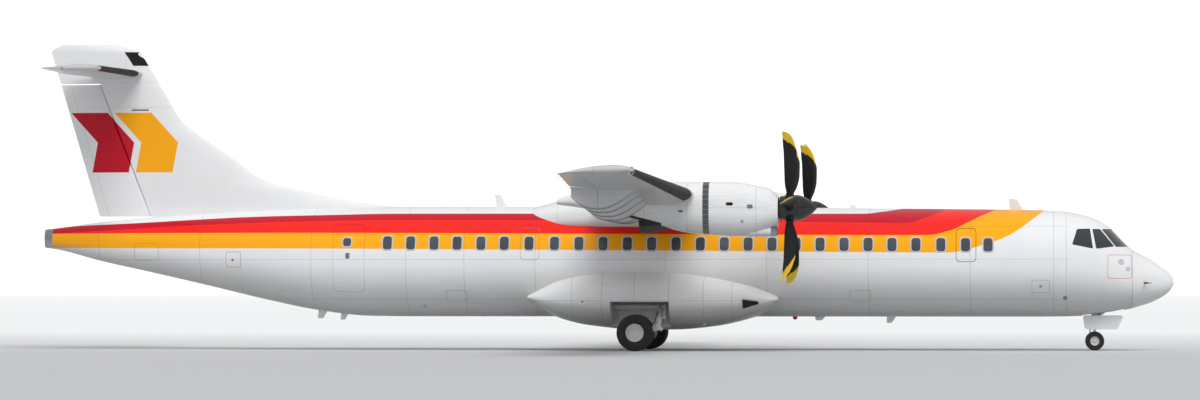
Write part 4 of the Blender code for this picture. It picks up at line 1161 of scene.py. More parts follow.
TRACK_FRONT = (
    (0.85, 0.44, 0.50, 0.030), (0.70, 0.315, 0.50, 0.053), (0.55, 0.20, 0.50, 0.070),
    (0.40, 0.11, 0.50, 0.077),
    (0.25, 0.04, 0.50, 0.080), (0.12, 0.008, 0.50, 0.080), (0.004, 0.0, 0.50, 0.080),
)
TRACK_REAR = (
    (-0.004, 0.0, 0.49, 0.080), (-0.15, 0.012, 0.49, 0.079), (-0.30, 0.05, 0.49, 0.075),
    (-0.46, 0.15, 0.49, 0.058),
    (-0.60, 0.27, 0.49, 0.035),
)


def aileron_front(y):
    _, _, chord, thickness = wing_section(y)
    return AILERON_SHARE - half_thickness(AILERON_SHARE, thickness) - 0.016 / chord


def hinged_ring(nose, tail, half, tail_half=0.004, points=11):
    ring = [(tail, tail_half)]
    for i in range(points):
        angle = math.radians(80 - 160 * i / (points - 1))
        ring.append((nose - half * math.cos(angle), half * math.sin(angle)))
    ring.append((tail, -tail_half))
    return ring


def wings():
    end = 0.035
    stations = (
        (0.0, 1.0), (FLAPS[0][1] - end - 0.01, 1.0), (FLAPS[0][1] - end, FLAP_SHARE),
        (FLAPS[0][2] + end, FLAP_SHARE),
        (FLAPS[0][2] + end + 0.01, 1.0), (FLAPS[1][1] - end - 0.01, 1.0), (FLAPS[1][1] - end, FLAP_SHARE),
        (KINK_Y, FLAP_SHARE),
    )
    rings = [wing_ring(y, -1, 0.0, last) for y, last in reversed(stations)]
    rings += [wing_ring(y, 1, 0.0, last) for y, last in stations[1:]]
    centre = loft("wing_centre_skin", rings)
    fronts = [track("track", y, side, TRACK_FRONT) for _, side in SIDES for y in FLAP_TRACKS["inner_flap"]]
    add(join("wing_centre_skin", [dress(centre, "wing")] + fronts), "=wing", "airframe", "wing_centre")
    for name, side in SIDES:
        stations = [(KINK_Y + 0.003, 0.0, FLAP_SHARE), (BOOT_START_Y - 0.005, 0.0, FLAP_SHARE),
                    (BOOT_START_Y, BOOT_SHARE, FLAP_SHARE),
                    (FLAPS[1][2] + end - 0.01, BOOT_SHARE, FLAP_SHARE),
                    (FLAPS[1][2] + end, BOOT_SHARE, aileron_front(FLAPS[1][2])),
                    (AILERON_SPAN[1] + end, BOOT_SHARE, aileron_front(AILERON_SPAN[1])),
                    (AILERON_SPAN[1] + end + 0.01, BOOT_SHARE, 1.0), (BOOT_END_Y, BOOT_SHARE, 1.0),
                    (BOOT_END_Y + 0.005, 0.0, 1.0), (TIP_Y - 0.14, 0.0, 1.0)]
        rings = [wing_ring(y, side, first, last) for y, first, last in stations]
        for k in range(1, 8):
            turn = math.pi / 2 * k / 7
            y = TIP_Y - 0.14 + 0.14 * math.sin(turn)
            rings.append(wing_ring(y, side, 0.06 * (1 - math.cos(turn)), 1.0 - 0.03 * (1 - math.cos(turn)),
                                   shrink=max(0.12, math.cos(turn))))
        wing = loft("outer_wing_skin_" + name, rings)
        fronts = [track("track", y, side, TRACK_FRONT) for y in FLAP_TRACKS["outer_flap"]]
        add(join("outer_wing_skin_" + name, [dress(wing, "wing")] + fronts), "=wing", "airframe",
            "wing_" + name)
        boot = [wing_ring(y, side, 0.0, BOOT_SHARE - 0.0005) for y in np.linspace(BOOT_START_Y + 0.001,
                                                                                  BOOT_END_Y - 0.001, 14)]
        collar = [wing_ring(BOOT_START_Y + at, side, 0.0, BOOT_SHARE, grow=grow) for at, grow in
                  ((-0.17, -0.004), (-0.15, 0.008), (-0.10, 0.016), (-0.03, 0.016), (-0.008, 0.010),
                   (-0.006, -0.004))]
        add(loft("boot_collar_" + name, collar), "white")
        add(loft("wing_boot_skin_" + name, boot), "rubber", "airframe", "wing_boot_" + name)
        share = FLAP_SHARE + 0.008 / CHORD
        for kind, inner, outer in FLAPS:
            cuts = (inner, KINK_Y, outer) if inner < KINK_Y < outer else (inner, outer)
            flap = loft("flap", [wing_ring(y, side, share, 1.0) for y in cuts])
            rears = [track("track", y, side, TRACK_REAR) for y in FLAP_TRACKS[kind]]
            body = "%s_%s" % (kind, name)
            add(join(body + "_skin", [dress(flap, "wing")] + rears), "=wing", body, body)
        rings = []
        for y in np.linspace(AILERON_SPAN[0], AILERON_SPAN[1], 6):
            _, _, chord, thickness = wing_section(y)
            hinge = chord * AILERON_SHARE
            half = chord * half_thickness(AILERON_SHARE, thickness)
            rise = chord * CAMBER * (1 - (2 * AILERON_SHARE - 0.8) ** 2)
            rings.append([wing_point(y, side, aft, h + rise * (chord - aft) / (chord - hinge)) for aft,
                          h in hinged_ring(hinge, chord, half)])
        add(loft("aileron_skin_" + name, rings), "wing", "aileron_" + name, "aileron_" + name)


def fairings():
    fairing = loft("belly_fairing_skin", body_rings(BELLY_TABLE, power=BELLY_POWER, points=96))
    for _, side in SIDES:
        low, high = sorted((WELL_Y[0] * side, WELL_Y[1] * side))
        combine(fairing, box("well", (WELL_X[0], low, 0.2), (WELL_X[1], high, WELL_TOP_Z)), "DIFFERENCE")
        pad = cylinder("pad", (2.5, 1.1 * side, 0.60), (2.5, 1.1 * side, 0.75), 0.05)
        combine(fairing, pad, "UNION")
    add(fairing, "lower_white", "airframe", "belly_fairing")
    root = loft("wing_fairing_skin", body_rings(smooth_table(WING_FAIRING_ROWS, 40), power=2.6, points=72))
    add(root, "white", "airframe", "wing_fairing")


# ---------------------------------------------------------------- engines and propellers
def nacelles():
    for name, side in SIDES:
        centre_y = ENGINE_Y * side
        rows = smooth_table(NACELLE_ROWS, 60)
        cowl = loft("nacelle_skin_" + name, body_rings(rows, power=2.4, points=72, centre_y=centre_y))
        shaft = cylinder("shaft_hole", (4.1, centre_y, SHAFT_Z), (4.6, centre_y, SHAFT_Z), 0.27)
        combine(cowl, shaft, "DIFFERENCE")
        # chin scoop that bulges from the lower cowl, its wide rounded mouth and lip
        scoop_rings = []
        for x, w, low, high in ((3.48, 0.08, 2.72, 2.82), (3.62, 0.17, 2.68, 2.87),
                                (3.80, 0.235, 2.665, 2.905),
                                (4.05, 0.262, 2.665, 2.916), (4.28, 0.263, 2.675, 2.916)):
            scoop_rings.append([(x, centre_y + y, z) for y, z in superellipse(low, high, w, 2.8, 48)])
        combine(cowl, loft("scoop_bulge", scoop_rings), "UNION")
        mouth = [[(x, centre_y + y, 2.795 + z) for y, z in superellipse(-h, h, w, 2.8, 40)]
                 for x, w, h in ((3.75, 0.16, 0.055), (4.15, 0.20, 0.085), (4.6, 0.235, 0.10))]
        combine(cowl, loft("mouth", mouth), "DIFFERENCE")
        pipe_start = Vector((2.60, centre_y, 3.10))
        pipe_end = Vector((1.42, centre_y, 2.905))
        hole = cylinder("hole", pipe_start, pipe_end + (pipe_end - pipe_start) * 0.3, 0.17, 40)
        combine(cowl, hole, "DIFFERENCE")
        add(cowl, "nacelle", "airframe", "nacelle_" + name)

        lip_rings = []
        for x, w, h in ((4.27, 0.264, 0.122), (4.35, 0.262, 0.120), (4.395, 0.252, 0.110),
                        (4.41, 0.240, 0.100), (4.395, 0.226, 0.092), (4.20, 0.205, 0.083)):
            lip_rings.append([(x, centre_y + y, 2.795 + z) for y, z in superellipse(-h, h, w, 2.8, 48)])
        lip = loft("intake_lip_" + name, lip_rings, caps=False)
        add(lip, "metal")
        # a dark cone closes the end of the intake mouth: painted shade for the deep duct behind it
        back = loft("intake_back_" + name,
                    [[(3.80, centre_y + y, 2.795 + z) for y, z in superellipse(-h, h, w, 2.8, 40)]
                                            for w, h in ((0.165, 0.058), (0.02, 0.01))], caps=False)
        for v in list(back.data.vertices)[40:]:
            v.co.x = 3.70
        add(back, "dark")

        # exhaust stub with a rolled end
        axis = (pipe_end - pipe_start).normalized()
        profile = [(0.150, -0.55), (0.150, -0.02), (0.155, 0.0), (0.147, 0.004), (0.138, -0.02),
                   (0.138, -0.50), (0.0, -0.52)]
        spin = axis.to_track_quat("Z", "Y").to_matrix().to_4x4()
        pipe = turned("exhaust_stub_" + name, profile, 48, Matrix.Translation(pipe_end + axis * 0.10) @ spin)
        add(pipe, "dark_metal")

        # small scoops and the long slot on the sides of the cowl
        bits = []
        cowl_table = np.array([row[:4] for row in sorted(rows)])

        def cowl_point(x, z, out, lift):
            low, high, half = (float(np.interp(x, cowl_table[:, 0], cowl_table[:, k])) for k in (1, 2, 3))
            share = min(0.999, abs(z - (low + high) / 2) / ((high - low) / 2))
            y = half * (1 - share ** 2.4) ** (1 / 2.4)
            return Vector((x, centre_y + (y + lift) * out, z))

        for out in (-1, 1):
            # the first scoop and the long slot are flat dark patches, painted shade for their openings
            for x, z, w, h, look in ((3.33, 3.42, 0.16, 0.07, "dark"), (3.80, 3.36, 0.13, 0.09, "panel_grey"),
                                     (3.62, 3.02, 0.06, 0.06, "metal"),
                                     (2.20, 3.25, 0.10, 0.05, "panel_grey")):
                outline = dense(rounded_rect(x, z, w, h, min(w, h) * 0.35))
                bits.append(dress(patch("scoop", outline, out,
                                        ((1.0, 0.001), (0.92, 0.010), (0.75, 0.010), (0.66, 0.003)),
                                        place=cowl_point), look))
            slot_shape = dense(soft_polygon([(0.74, 3.174), (1.737, 2.925), (1.737, 2.985), (0.78, 3.232)],
                                            0.012))
            bits.append(dress(patch("slot", slot_shape, out, ((1.0, 0.001), (0.92, 0.005), (0.84, 0.003)),
                                    place=cowl_point), "dark"))
        add(join("cowl_vents_" + name, bits), "=panel_grey")
        # prop shaft collar
        collar = turned("shaft_collar_" + name,
                        [(0.262, 0.0), (0.262, 0.10), (0.245, 0.115), (0.12, 0.115), (0.12, 0.0)], 48,
                        Matrix.Translation((4.335, centre_y, SHAFT_Z)) @ Matrix.Rotation(math.pi / 2, 4, "Y"))
        add(collar, "dark_metal")


def blade_ring(share, chord, pitch, sweep, thickness, points=28):
    angle = math.radians(pitch)
    forward = Vector((math.sin(angle), math.cos(angle), 0))
    across = Vector((math.cos(angle), -math.sin(angle), 0))
    ring = []
    for i in range(points):
        turn = 2 * math.pi * i / points
        c, s = math.cos(turn), math.sin(turn)
        full = s * (1.0 + 0.25 * c) if thickness < 0.5 else s
        ring.append(forward * (chord / 2 * c + sweep) + across * (chord * thickness / 2 * full) + Vector((0,
                0, PROP_RADIUS * share)))
    return ring


def propellers():
    rows = smooth_table(BLADE_ROWS, 40)
    for name, side in SIDES:
        centre = Vector((0.0, ENGINE_Y * side, SHAFT_Z))
        turn_x = Matrix.Rotation(math.pi / 2, 4, "Y")
        hub = turned("propeller_hub_" + name,
                [(0.0, 0.0), (0.262, 0.0), (0.272, 0.012), (0.290, 0.19), (0.2995, 0.378), (0.296, 0.389),
                 (0.0, 0.389)],
                     72, Matrix.Translation(centre + Vector((HUB_BACK_X, 0, 0))) @ turn_x)
        things = [dress(hub, "spinner")]
        for number in range(6):
            turn = 2 * math.pi * number / 6 - PROP_PHASE[name] * side
            spot = Matrix.Translation(centre + Vector((PROP_X, 0, 0))) @ Matrix.Rotation(turn, 4, "X")
            blade = dress(loft("blade", [[spot @ p for p in blade_ring(*row)] for row in rows], 45), "blade")
            blade.data.materials.append(MATERIALS["blade_tip"])
            points = 28
            for face in blade.data.polygons:
                ring, spoke = divmod(face.index, points)
                share = rows[min(ring, len(rows) - 2)][0]
                limit = 1 - 2 * (max(0.0, share - 0.70) / 0.20) ** 1.6
                if face.index < points * (len(rows) - 1) and math.cos(2 * math.pi
                                                                      * (spoke + 0.5) / points) > limit:
                    face.material_index = 1
            cuff = turned("cuff", [(0.10, 0.27), (0.098, 0.33), (0.085, 0.36), (0.078, 0.37), (0.0, 0.37)],
                          28, spot)
            dot = cylinder("dot", spot @ Vector((0.13, 0, 0.296)), spot @ Vector((0.13, 0, 0.302)), 0.012, 16)
            things += [blade, dress(cuff, "blade"), dress(dot, "red_mark" if number % 2 else "blade_tip")]
        shaft = cylinder("shaft", centre + Vector((3.96, 0, 0)), centre + Vector((HUB_BACK_X + 0.02, 0, 0)),
                         0.10)
        add(join("propeller_skin_" + name, things + [dress(shaft, "metal")]), "=blade", "propeller_" + name,
            "propeller_" + name)
        length = SPINNER_TIP_X - HUB_FRONT_X - 0.0003
        profile = []
        for step in range(25):
            angle = math.pi / 2 * step / 24
            profile.append((HUB_RADIUS * (1 - math.cos(angle) ** 1.8) ** 0.92, length * math.cos(angle)))
        profile[0] = (0.0, length)
        profile.append((0.0, 0.0))
        spinner = turned("spinner_skin_" + name, profile, 72,
                         Matrix.Translation(centre + Vector((HUB_FRONT_X + 0.0003, 0, 0))) @ turn_x)
        add(spinner, "spinner", "propeller_" + name, "spinner_" + name)


# ---------------------------------------------------------------- tail
def line_x(line, z):
    (x0, z0), (x1, z1) = line
    return x0 + (x1 - x0) * (z - z0) / (z1 - z0)


def fin_half(z):
    share = (z - 3.1) / (FIN_TOP_Z - 3.1)
    return (FIN_THICKNESS + (FIN_TOP_THICKNESS - FIN_THICKNESS) * share) / 2


def fin_ring(z, lead_x, tail_x):
    full = lead_x - line_x(FIN_TRAILING, z)
    ring = airfoil(0.0, (lead_x - tail_x) / full, full, 2 * fin_half(z) / full, points=22)
    return [(lead_x - aft, h, z) for aft, h in ring]


def tail_section(y):
    share = y / TAIL_HALF_SPAN
    return (TAIL_ROOT_LEADING_X + (TAIL_TIP_LEADING_X - TAIL_ROOT_LEADING_X) * share,
            TAIL_ROOT_CHORD + (TAIL_TIP_CHORD - TAIL_ROOT_CHORD) * share)


def elevator_half(y):
    lead_x, chord = tail_section(y)
    return chord * half_thickness((lead_x - ELEVATOR_HINGE_X) / chord, TAIL_THICKNESS)


def tail():
    rings = []
    for z, lead_x in smooth_table(FIN_ROWS, 48):
        rings.append(fin_ring(z, lead_x, line_x(RUDDER_HINGE, z) + 0.62 * fin_half(z) + 0.016))
    add(loft("fin_skin", rings), "fin", "airframe", "fin")
    rows = [r for r in smooth_table(FIN_HEAD_ROWS, 30)]
    rings = []
    for z, lead_x in rows:
        over = max(0.0, (z - 7.20) / (FIN_TOP_Z - 7.20))
        ring = fin_ring(z, lead_x, line_x(FIN_TRAILING, z) + 0.35 * over ** 1.5)
        rings.append([(x, y * (1 - 0.6 * over ** 1.5), zz) for x, y, zz in ring])
    add(loft("fin_head_skin", rings), "white", "airframe", "fin_head")
    rings = []
    for z in np.linspace(RUDDER_HINGE[0][1] + 0.035, FIN_JOINT_Z - 0.03, 14):
        hinge_x, tail_x = line_x(RUDDER_HINGE, z), line_x(FIN_TRAILING, z)
        rings.append([(hinge_x - aft, across, z) for aft,
                      across in hinged_ring(0.0, hinge_x - tail_x, 0.62 * fin_half(z))])
    rudder = loft("rudder_skin", rings)
    combine(rudder, fuselage_skin("floor", 0.02, -13.385, -9.6), "DIFFERENCE")
    add(rudder, "fin", "rudder", "rudder")

    rings = []
    stations = [TAIL_HALF_SPAN - 0.15 + 0.15 * math.sin(math.pi / 2 * k / 6) for k in range(6, 0,
            -1)] + [TAIL_HALF_SPAN - 0.15, 2.4, 1.2, 0.0]
    for y in stations:
        over = max(0.0, (y - TAIL_HALF_SPAN + 0.15) / 0.15)
        shrink = max(0.2, math.sqrt(max(0.0, 1 - over * over)))
        lead_x, chord = tail_section(y)
        last = (lead_x - ELEVATOR_HINGE_X - elevator_half(y) - 0.016) / chord
        section = airfoil((1 - shrink) * 0.08, last, chord, TAIL_THICKNESS * shrink)
        rings.append([(lead_x - aft, -y, TAIL_Z + h) for aft, h in section])
    rings += [[(x, -y, z) for x, y, z in ring] for ring in rings[-2::-1]]
    add(loft("tailplane_skin", rings), "tail_grey", "airframe", "tailplane")
    # rubber boots that wrap the leading edge, and a dark panel on the front of the fin's cap
    for name, side in SIDES:
        rings = []
        for y in np.linspace(0.42, TAIL_HALF_SPAN - 0.20, 9):
            lead_x, chord = tail_section(float(y))
            section = airfoil(0.0, 0.075, chord, TAIL_THICKNESS, grow=0.003)
            rings.append([(lead_x + 0.003 - aft, side * float(y), TAIL_Z + h) for aft, h in section])
        add(loft("tail_boot_" + name, rings), "rubber")
    rings = []
    for z in np.linspace(6.86, 7.19, 8):
        lead_x = float(np.interp(z, [r[0] for r in FIN_HEAD_ROWS], [r[1] for r in FIN_HEAD_ROWS]))
        ring = fin_ring(float(z), lead_x, lead_x - 0.36)
        rings.append([(x + 0.004, y * 1.02 + math.copysign(0.002, y), zz) for x, y, zz in ring])
    add(loft("fin_cap_panel", rings), "dark")
    # a narrow inlet on each side of the fin
    vents = []
    for name, side in SIDES:
        y = fin_half(5.80) * 0.97
        low, high = sorted(((y - 0.03) * side, (y + 0.014) * side))
        vents.append(dress(box("vent", (-11.46, low, 5.79), (-11.03, high, 5.822), 0.006), "rim"))
        # the mouth below the lip is a solid dark strip, painted shade for the inlet's opening
        low, high = sorted(((y - 0.03) * side, (y + 0.010) * side))
        vents.append(dress(box("vent_mouth", (-11.45, low, 5.770), (-11.04, high, 5.791), 0.004), "dark"))
    add(join("fin_vents", vents), "=rim")
    for name, side in SIDES:
        rings = []
        for y in (ELEVATOR_ROOT_Y, 1.2, 2.4, TAIL_HALF_SPAN - 0.15, TAIL_HALF_SPAN - 0.06, TAIL_HALF_SPAN):
            lead_x, chord = tail_section(y)
            over = max(0.0, (y - TAIL_HALF_SPAN + 0.15) / 0.15)
            shrink = 1.0 - 0.5 * over ** 2
            tail_at = ELEVATOR_HINGE_X - (lead_x - chord)
            ring = hinged_ring(0.0, tail_at - (1 - shrink) * 0.1, shrink * elevator_half(y))
            rings.append([(ELEVATOR_HINGE_X - aft, side * y, TAIL_Z + up) for aft, up in ring])
        add(loft("elevator_skin_" + name, rings), "tail_grey", "elevator_" + name, "elevator_" + name)


# ---------------------------------------------------------------- landing gear
def across(x, y, z):
    return Matrix.Translation((x, y, z)) @ Matrix.Rotation(-math.pi / 2, 4, "X")


def tyre_skin(name, x, y, radius, width, rim, body, node):
    """A tyre with four tread grooves, a rounded shoulder and a bead."""
    profile = []
    crown = radius
    points = [(rim, 0.36), (rim + 0.10 * (radius - rim), 0.44), (rim + 0.25 * (radius - rim), 0.485),
              (rim + 0.45 * (radius - rim), 0.50),
              (radius - 0.35 * (radius - rim), 0.50), (radius - 0.20 * (radius - rim), 0.47),
              (radius - 0.10 * (radius - rim), 0.41),
              (radius - 0.035 * (radius - rim), 0.34), (crown - 0.002, 0.28)]
    for r, w in points:
        profile.append((r, w * width))
    groove = 0.009
    for at in (0.20, 0.07, -0.07, -0.20):
        profile += [(crown, (at + 0.017) * width), (crown - groove, (at + 0.012) * width),
                    (crown - groove, (at - 0.012) * width), (crown, (at - 0.017) * width)]
    for r, w in reversed(points):
        profile.append((r, -w * width))
    thing = turned(name, profile, 72, across(x, y, radius), closed=True, sharp=40)
    add(thing, "tyre", body, node)
    return thing


def wheel_skin(name, x, y, radius, rim_radius, twin, width, shaft_radius, body, node):
    rim = rim_radius - 0.0003
    half = 0.36 * width - 0.01
    outer, inner = twin + half, twin - half
    out, back = twin + 0.35 * half, twin - 0.15 * half
    side_profile = [(0.0, out + 0.012), (0.20 * rim, out + 0.012), (0.24 * rim, out + 0.004),
                    (0.30 * rim, out), (0.62 * rim, out - 0.010),
                    (0.78 * rim, out), (0.86 * rim, outer - 0.008), (0.90 * rim, outer),
                    (0.97 * rim, outer + 0.004), (rim, outer),
                    (rim, inner), (0.80 * rim, back), (shaft_radius, back)]
    profile = side_profile + [(r, -h) for r, h in reversed(side_profile)]
    wheel = turned(name, profile, 72, across(x, y, radius))
    bolts = []
    count = 10
    for end in (-1, 1):
        for i in range(count):
            a = 2 * math.pi * i / count
            spot = Vector((x + 0.50 * rim * math.cos(a), y + end * (out - 0.010),
                           radius + 0.50 * rim * math.sin(a)))
            bolts.append(cylinder("bolt", spot, spot + Vector((0, end * 0.016, 0)), 0.045 * rim, 6))
    add(join(name, [wheel] + bolts), "gear", body, node)


def gear():
    for name, side in SIDES:
        body = "main_wheel_pair_" + name
        for place, offset in (("inner", -MAIN_TWIN), ("outer", MAIN_TWIN)):
            node = "main_tyre_%s_%s" % (place, name)
            tyre_skin(node + "_skin", MAIN_X, (MAIN_Y + offset) * side, MAIN_RADIUS, MAIN_TYRE_WIDTH, 0.215,
                      body, node)
        wheel_skin("main_wheels_skin_" + name, MAIN_X, MAIN_Y * side, MAIN_RADIUS, 0.215, MAIN_TWIN,
                   MAIN_TYRE_WIDTH, 0.045, body, "main_wheels_" + name)
        top = Vector((1.48, 1.20 * side, 1.04))
        knee = Vector((1.48, MAIN_Y * side, 0.56))
        axle = Vector((MAIN_X, MAIN_Y * side, MAIN_RADIUS))
        parts = [cylinder("leg", top, knee, 0.070, 36),
                cylinder("pin", (WELL_X[0] + 0.01, top.y, top.z), (WELL_X[1] - 0.01, top.y, top.z), 0.060,
                         36)]
        arm = []
        for share in np.linspace(0, 1, 6):
            spot = (knee + Vector((0.05, 0, 0))).lerp(axle, float(share))
            size = 0.070 + (0.055 - 0.070) * share
            arm.append([(spot.x, spot.y + w, spot.z + h) for w,
                        h in superellipse(-size, size, 0.045, 4.0, 28)])
        parts.append(loft("arm", arm))
        parts.append(turned("ring",
                [(0.085, -0.045), (0.085, 0.045), (0.078, 0.050), (0.050, 0.050), (0.050, -0.050),
                 (0.078, -0.050)], 40,
                            across(*axle), closed=True))
        shock_top, shock_foot = Vector((1.62, 1.36 * side, 1.07)), Vector((1.56, MAIN_Y * side, 0.50))
        middle = shock_top.lerp(shock_foot, 0.58)
        parts.append(cylinder("barrel", shock_top, middle, 0.045, 32))
        parts.append(cylinder("lug", shock_top, (1.48, 1.28 * side, 1.02), 0.040, 24))
        parts.append(cylinder("foot", shock_foot + Vector((0.02, 0, 0)), knee, 0.050, 24))
        for share in (0.25, 0.55):
            spot = top.lerp(knee, share)
            run = (knee - top).normalized() * 0.02
            parts.append(cylinder("collar", spot - run, spot + run, 0.078, 36))
        parts.append(cylinder("knee_cap", knee + Vector((0, -0.06, 0)), knee + Vector((0, 0.06, 0)), 0.062,
                              32, round_off=0.006))
        leg = join("main_leg_skin_" + name, parts)
        add(leg, "gear", "airframe", "main_leg_" + name)
        piston = cylinder("main_piston_" + name, middle, shock_foot, 0.032, 32)
        add(piston, "chrome")
        hose = tube("main_hoses_" + name,
                [top + Vector((0.05, 0.02 * side, -0.07)), top.lerp(knee, 0.3) + Vector((-0.05, 0, 0.085)),
                                           top.lerp(knee, 0.75) + Vector((-0.07, 0, 0.085)),
                                           knee + Vector((-0.10, -0.03 * side, 0.075)),
                                           axle + Vector((0.12, 0.0, 0.075))], 0.009)
        add(hose, "rubber")

    for name, side in SIDES:
        node = "nose_tyre_" + name
        tyre_skin(node + "_skin", NOSE_X, NOSE_TWIN * side, NOSE_RADIUS, NOSE_TYRE_WIDTH, 0.11,
                  "nose_wheel_pair", node)
    wheel_skin("nose_wheels_skin", NOSE_X, 0.0, NOSE_RADIUS, 0.11, NOSE_TWIN, NOSE_TYRE_WIDTH, 0.028,
               "nose_wheel_pair", "nose_wheels")
    parts = [cylinder("strut", (NOSE_X, 0, 0.62), (NOSE_X, 0, NOSE_WELL_TOP_Z - 0.001), 0.075, 40),
             cylinder("gland", (NOSE_X, 0, 0.62), (NOSE_X, 0, 0.68), 0.088, 40, round_off=0.008),
             cylinder("collar", (NOSE_X, 0, 0.78), (NOSE_X, 0, 0.84), 0.090, 40, round_off=0.006),
             cylinder("brace", (NOSE_X, 0, 0.76), (12.34, 0, 1.20), 0.035, 28),
             cylinder("cross", (12.34, -NOSE_WELL_HALF + 0.004, 1.20), (12.34, NOSE_WELL_HALF - 0.004, 1.20),
                      0.040, 28),
             box("steer", (NOSE_X - 0.13, -0.10, 0.70), (NOSE_X - 0.06, 0.10, 0.76), 0.008)]
    add(join("nose_strut_skin", parts), "gear", "airframe", "nose_strut")
    parts = [dress(cylinder("piston", (NOSE_X, 0, NOSE_RADIUS + 0.05), (NOSE_X, 0, 0.615), 0.042, 36),
                   "chrome"),
             dress(turned("ring", [(0.055, -0.045), (0.055, 0.045), (0.033, 0.047), (0.033, -0.047)], 40,
                          across(NOSE_X, 0, NOSE_RADIUS), closed=True), "chrome"),
             dress(cylinder("tow", (NOSE_X, 0, 0.30), (NOSE_X, 0, 0.36), 0.052, 32, round_off=0.006),
                   "chrome")]
    # the scissor link behind the piston
    for a, b in (((NOSE_X - 0.045, 0.58), (NOSE_X - 0.12, 0.46)),
                 ((NOSE_X - 0.12, 0.46), (NOSE_X - 0.050, 0.33))):
        link_piece = cylinder("link", (a[0], 0, a[1]), (b[0], 0, b[1]), 0.016, 16)
        parts.append(dress(link_piece, "gear"))
    add(join("nose_fork_skin", parts), "=chrome", "nose_steering", "nose_fork")
    lamp = turned("taxi_lamp",
                  [(0.0, 0.0), (0.055, 0.0), (0.060, 0.006), (0.060, 0.05), (0.03, 0.09), (0.0, 0.09)], 36,
                  Matrix.Translation((NOSE_X + 0.13, 0, 0.92)) @ Matrix.Rotation(-math.pi / 2, 4, "Y"))
    add(lamp, "clear_lens")


# ---------------------------------------------------------------- insides that show
def insides():
    """Linings of the door recesses and the wheel wells, with steps on the stairs door."""
    for name, outline, side, *_ in DOORS[:2]:
        x0, x1, z0, z1 = outline
        y = DOOR_RECESS_Y + 0.006
        pieces = [dress(box("wall", (x0, min(y * side, (y + 0.01) * side), z0 + 0.02),
                            (x1, max(y * side, (y + 0.01) * side), z1 - 0.16), 0.003), "lining"),
                  dress(box("floor", (x0 + 0.02, y, z0 + 0.004), (x1 - 0.02, y + 0.24, z0 + 0.022), 0.004),
                        "tread")]
        for k in range(1, 4):
            x = x0 + (x1 - x0) * k / 4
            pieces.append(dress(box("rib", (x - 0.012, y + 0.008, z0 + 0.05),
                                    (x + 0.012, y + 0.024, z1 - 0.18), 0.003), "panel_grey"))
        add(join(name + "_lining", pieces), "=lining")
    # six treads and two rails on the inner face of the stairs door
    x0, x1, z0, z1 = DOORS[0][1]
    pieces = []
    for k in range(6):
        z = z0 + 0.16 + 0.235 * k
        y = skin_y((x0 + x1) / 2, z) - DOOR_THICKNESS - 0.075
        pieces.append(dress(box("tread", (x0 + 0.14, y, z), (x1 - 0.14, y + 0.07, z + 0.022), 0.004),
                            "tread"))
    for x in (x0 + 0.10, x1 - 0.10):
        points = []
        for z in np.linspace(z0 + 0.10, z1 - 0.14, 9):
            points.append((x, skin_y(x, float(z)) - DOOR_THICKNESS - 0.03, float(z)))
        pieces.append(dress(tube("rail", points, 0.016), "metal"))
    add(join("stair_treads", pieces), "=tread", "passenger_door")
    # wells
    for name, side in SIDES:
        pieces = []
        low, high = sorted(((WELL_Y[0] + 0.003) * side, (WELL_Y[0] + 0.012) * side))
        pieces.append(box("wall", (WELL_X[0] + 0.004, low, 0.62),
                          (WELL_X[1] - 0.004, high, WELL_TOP_Z - 0.004)))
        for k in range(5):
            x = WELL_X[0] + 0.12 + 0.28 * k
            low, high = sorted(((WELL_Y[0] + 0.010) * side, (WELL_Y[0] + 0.035) * side))
            pieces.append(box("rib", (x, low, 0.66), (x + 0.02, high, WELL_TOP_Z - 0.02)))
        add(join("main_well_lining_" + name, pieces), "gear")
        x0, x1 = NOSE_WELL_X[0] + 0.02, NOSE_WELL_X[1] - 0.02
        outline = soft_polygon([(x0, 0.83), (x1, 0.83), (x1 - 0.14, 0.50), (x0 + 0.05, 0.50)], 0.06)
        door = polygon_prism("nose_door_skin_" + name, outline, 0.275, 0.295, side)
        add(door, "white", "airframe", "nose_door_" + name)


# ---------------------------------------------------------------- small fittings
def blade_aerial(name, x, z, height, chord, lean=0.35, side_y=0.0, up=1.0):
    rings = []
    for k in range(7):
        share = k / 6
        c = chord * (1 - 0.45 * share)
        t = 0.10 * (1 - 0.6 * share)
        mid = x - lean * height * share
        section = airfoil(0.0, 1.0, c, t, points=10)
        rings.append([(mid + c / 2 - aft, side_y + h, z + up * height * share) for aft, h in section])
    return loft(name, rings, 50)


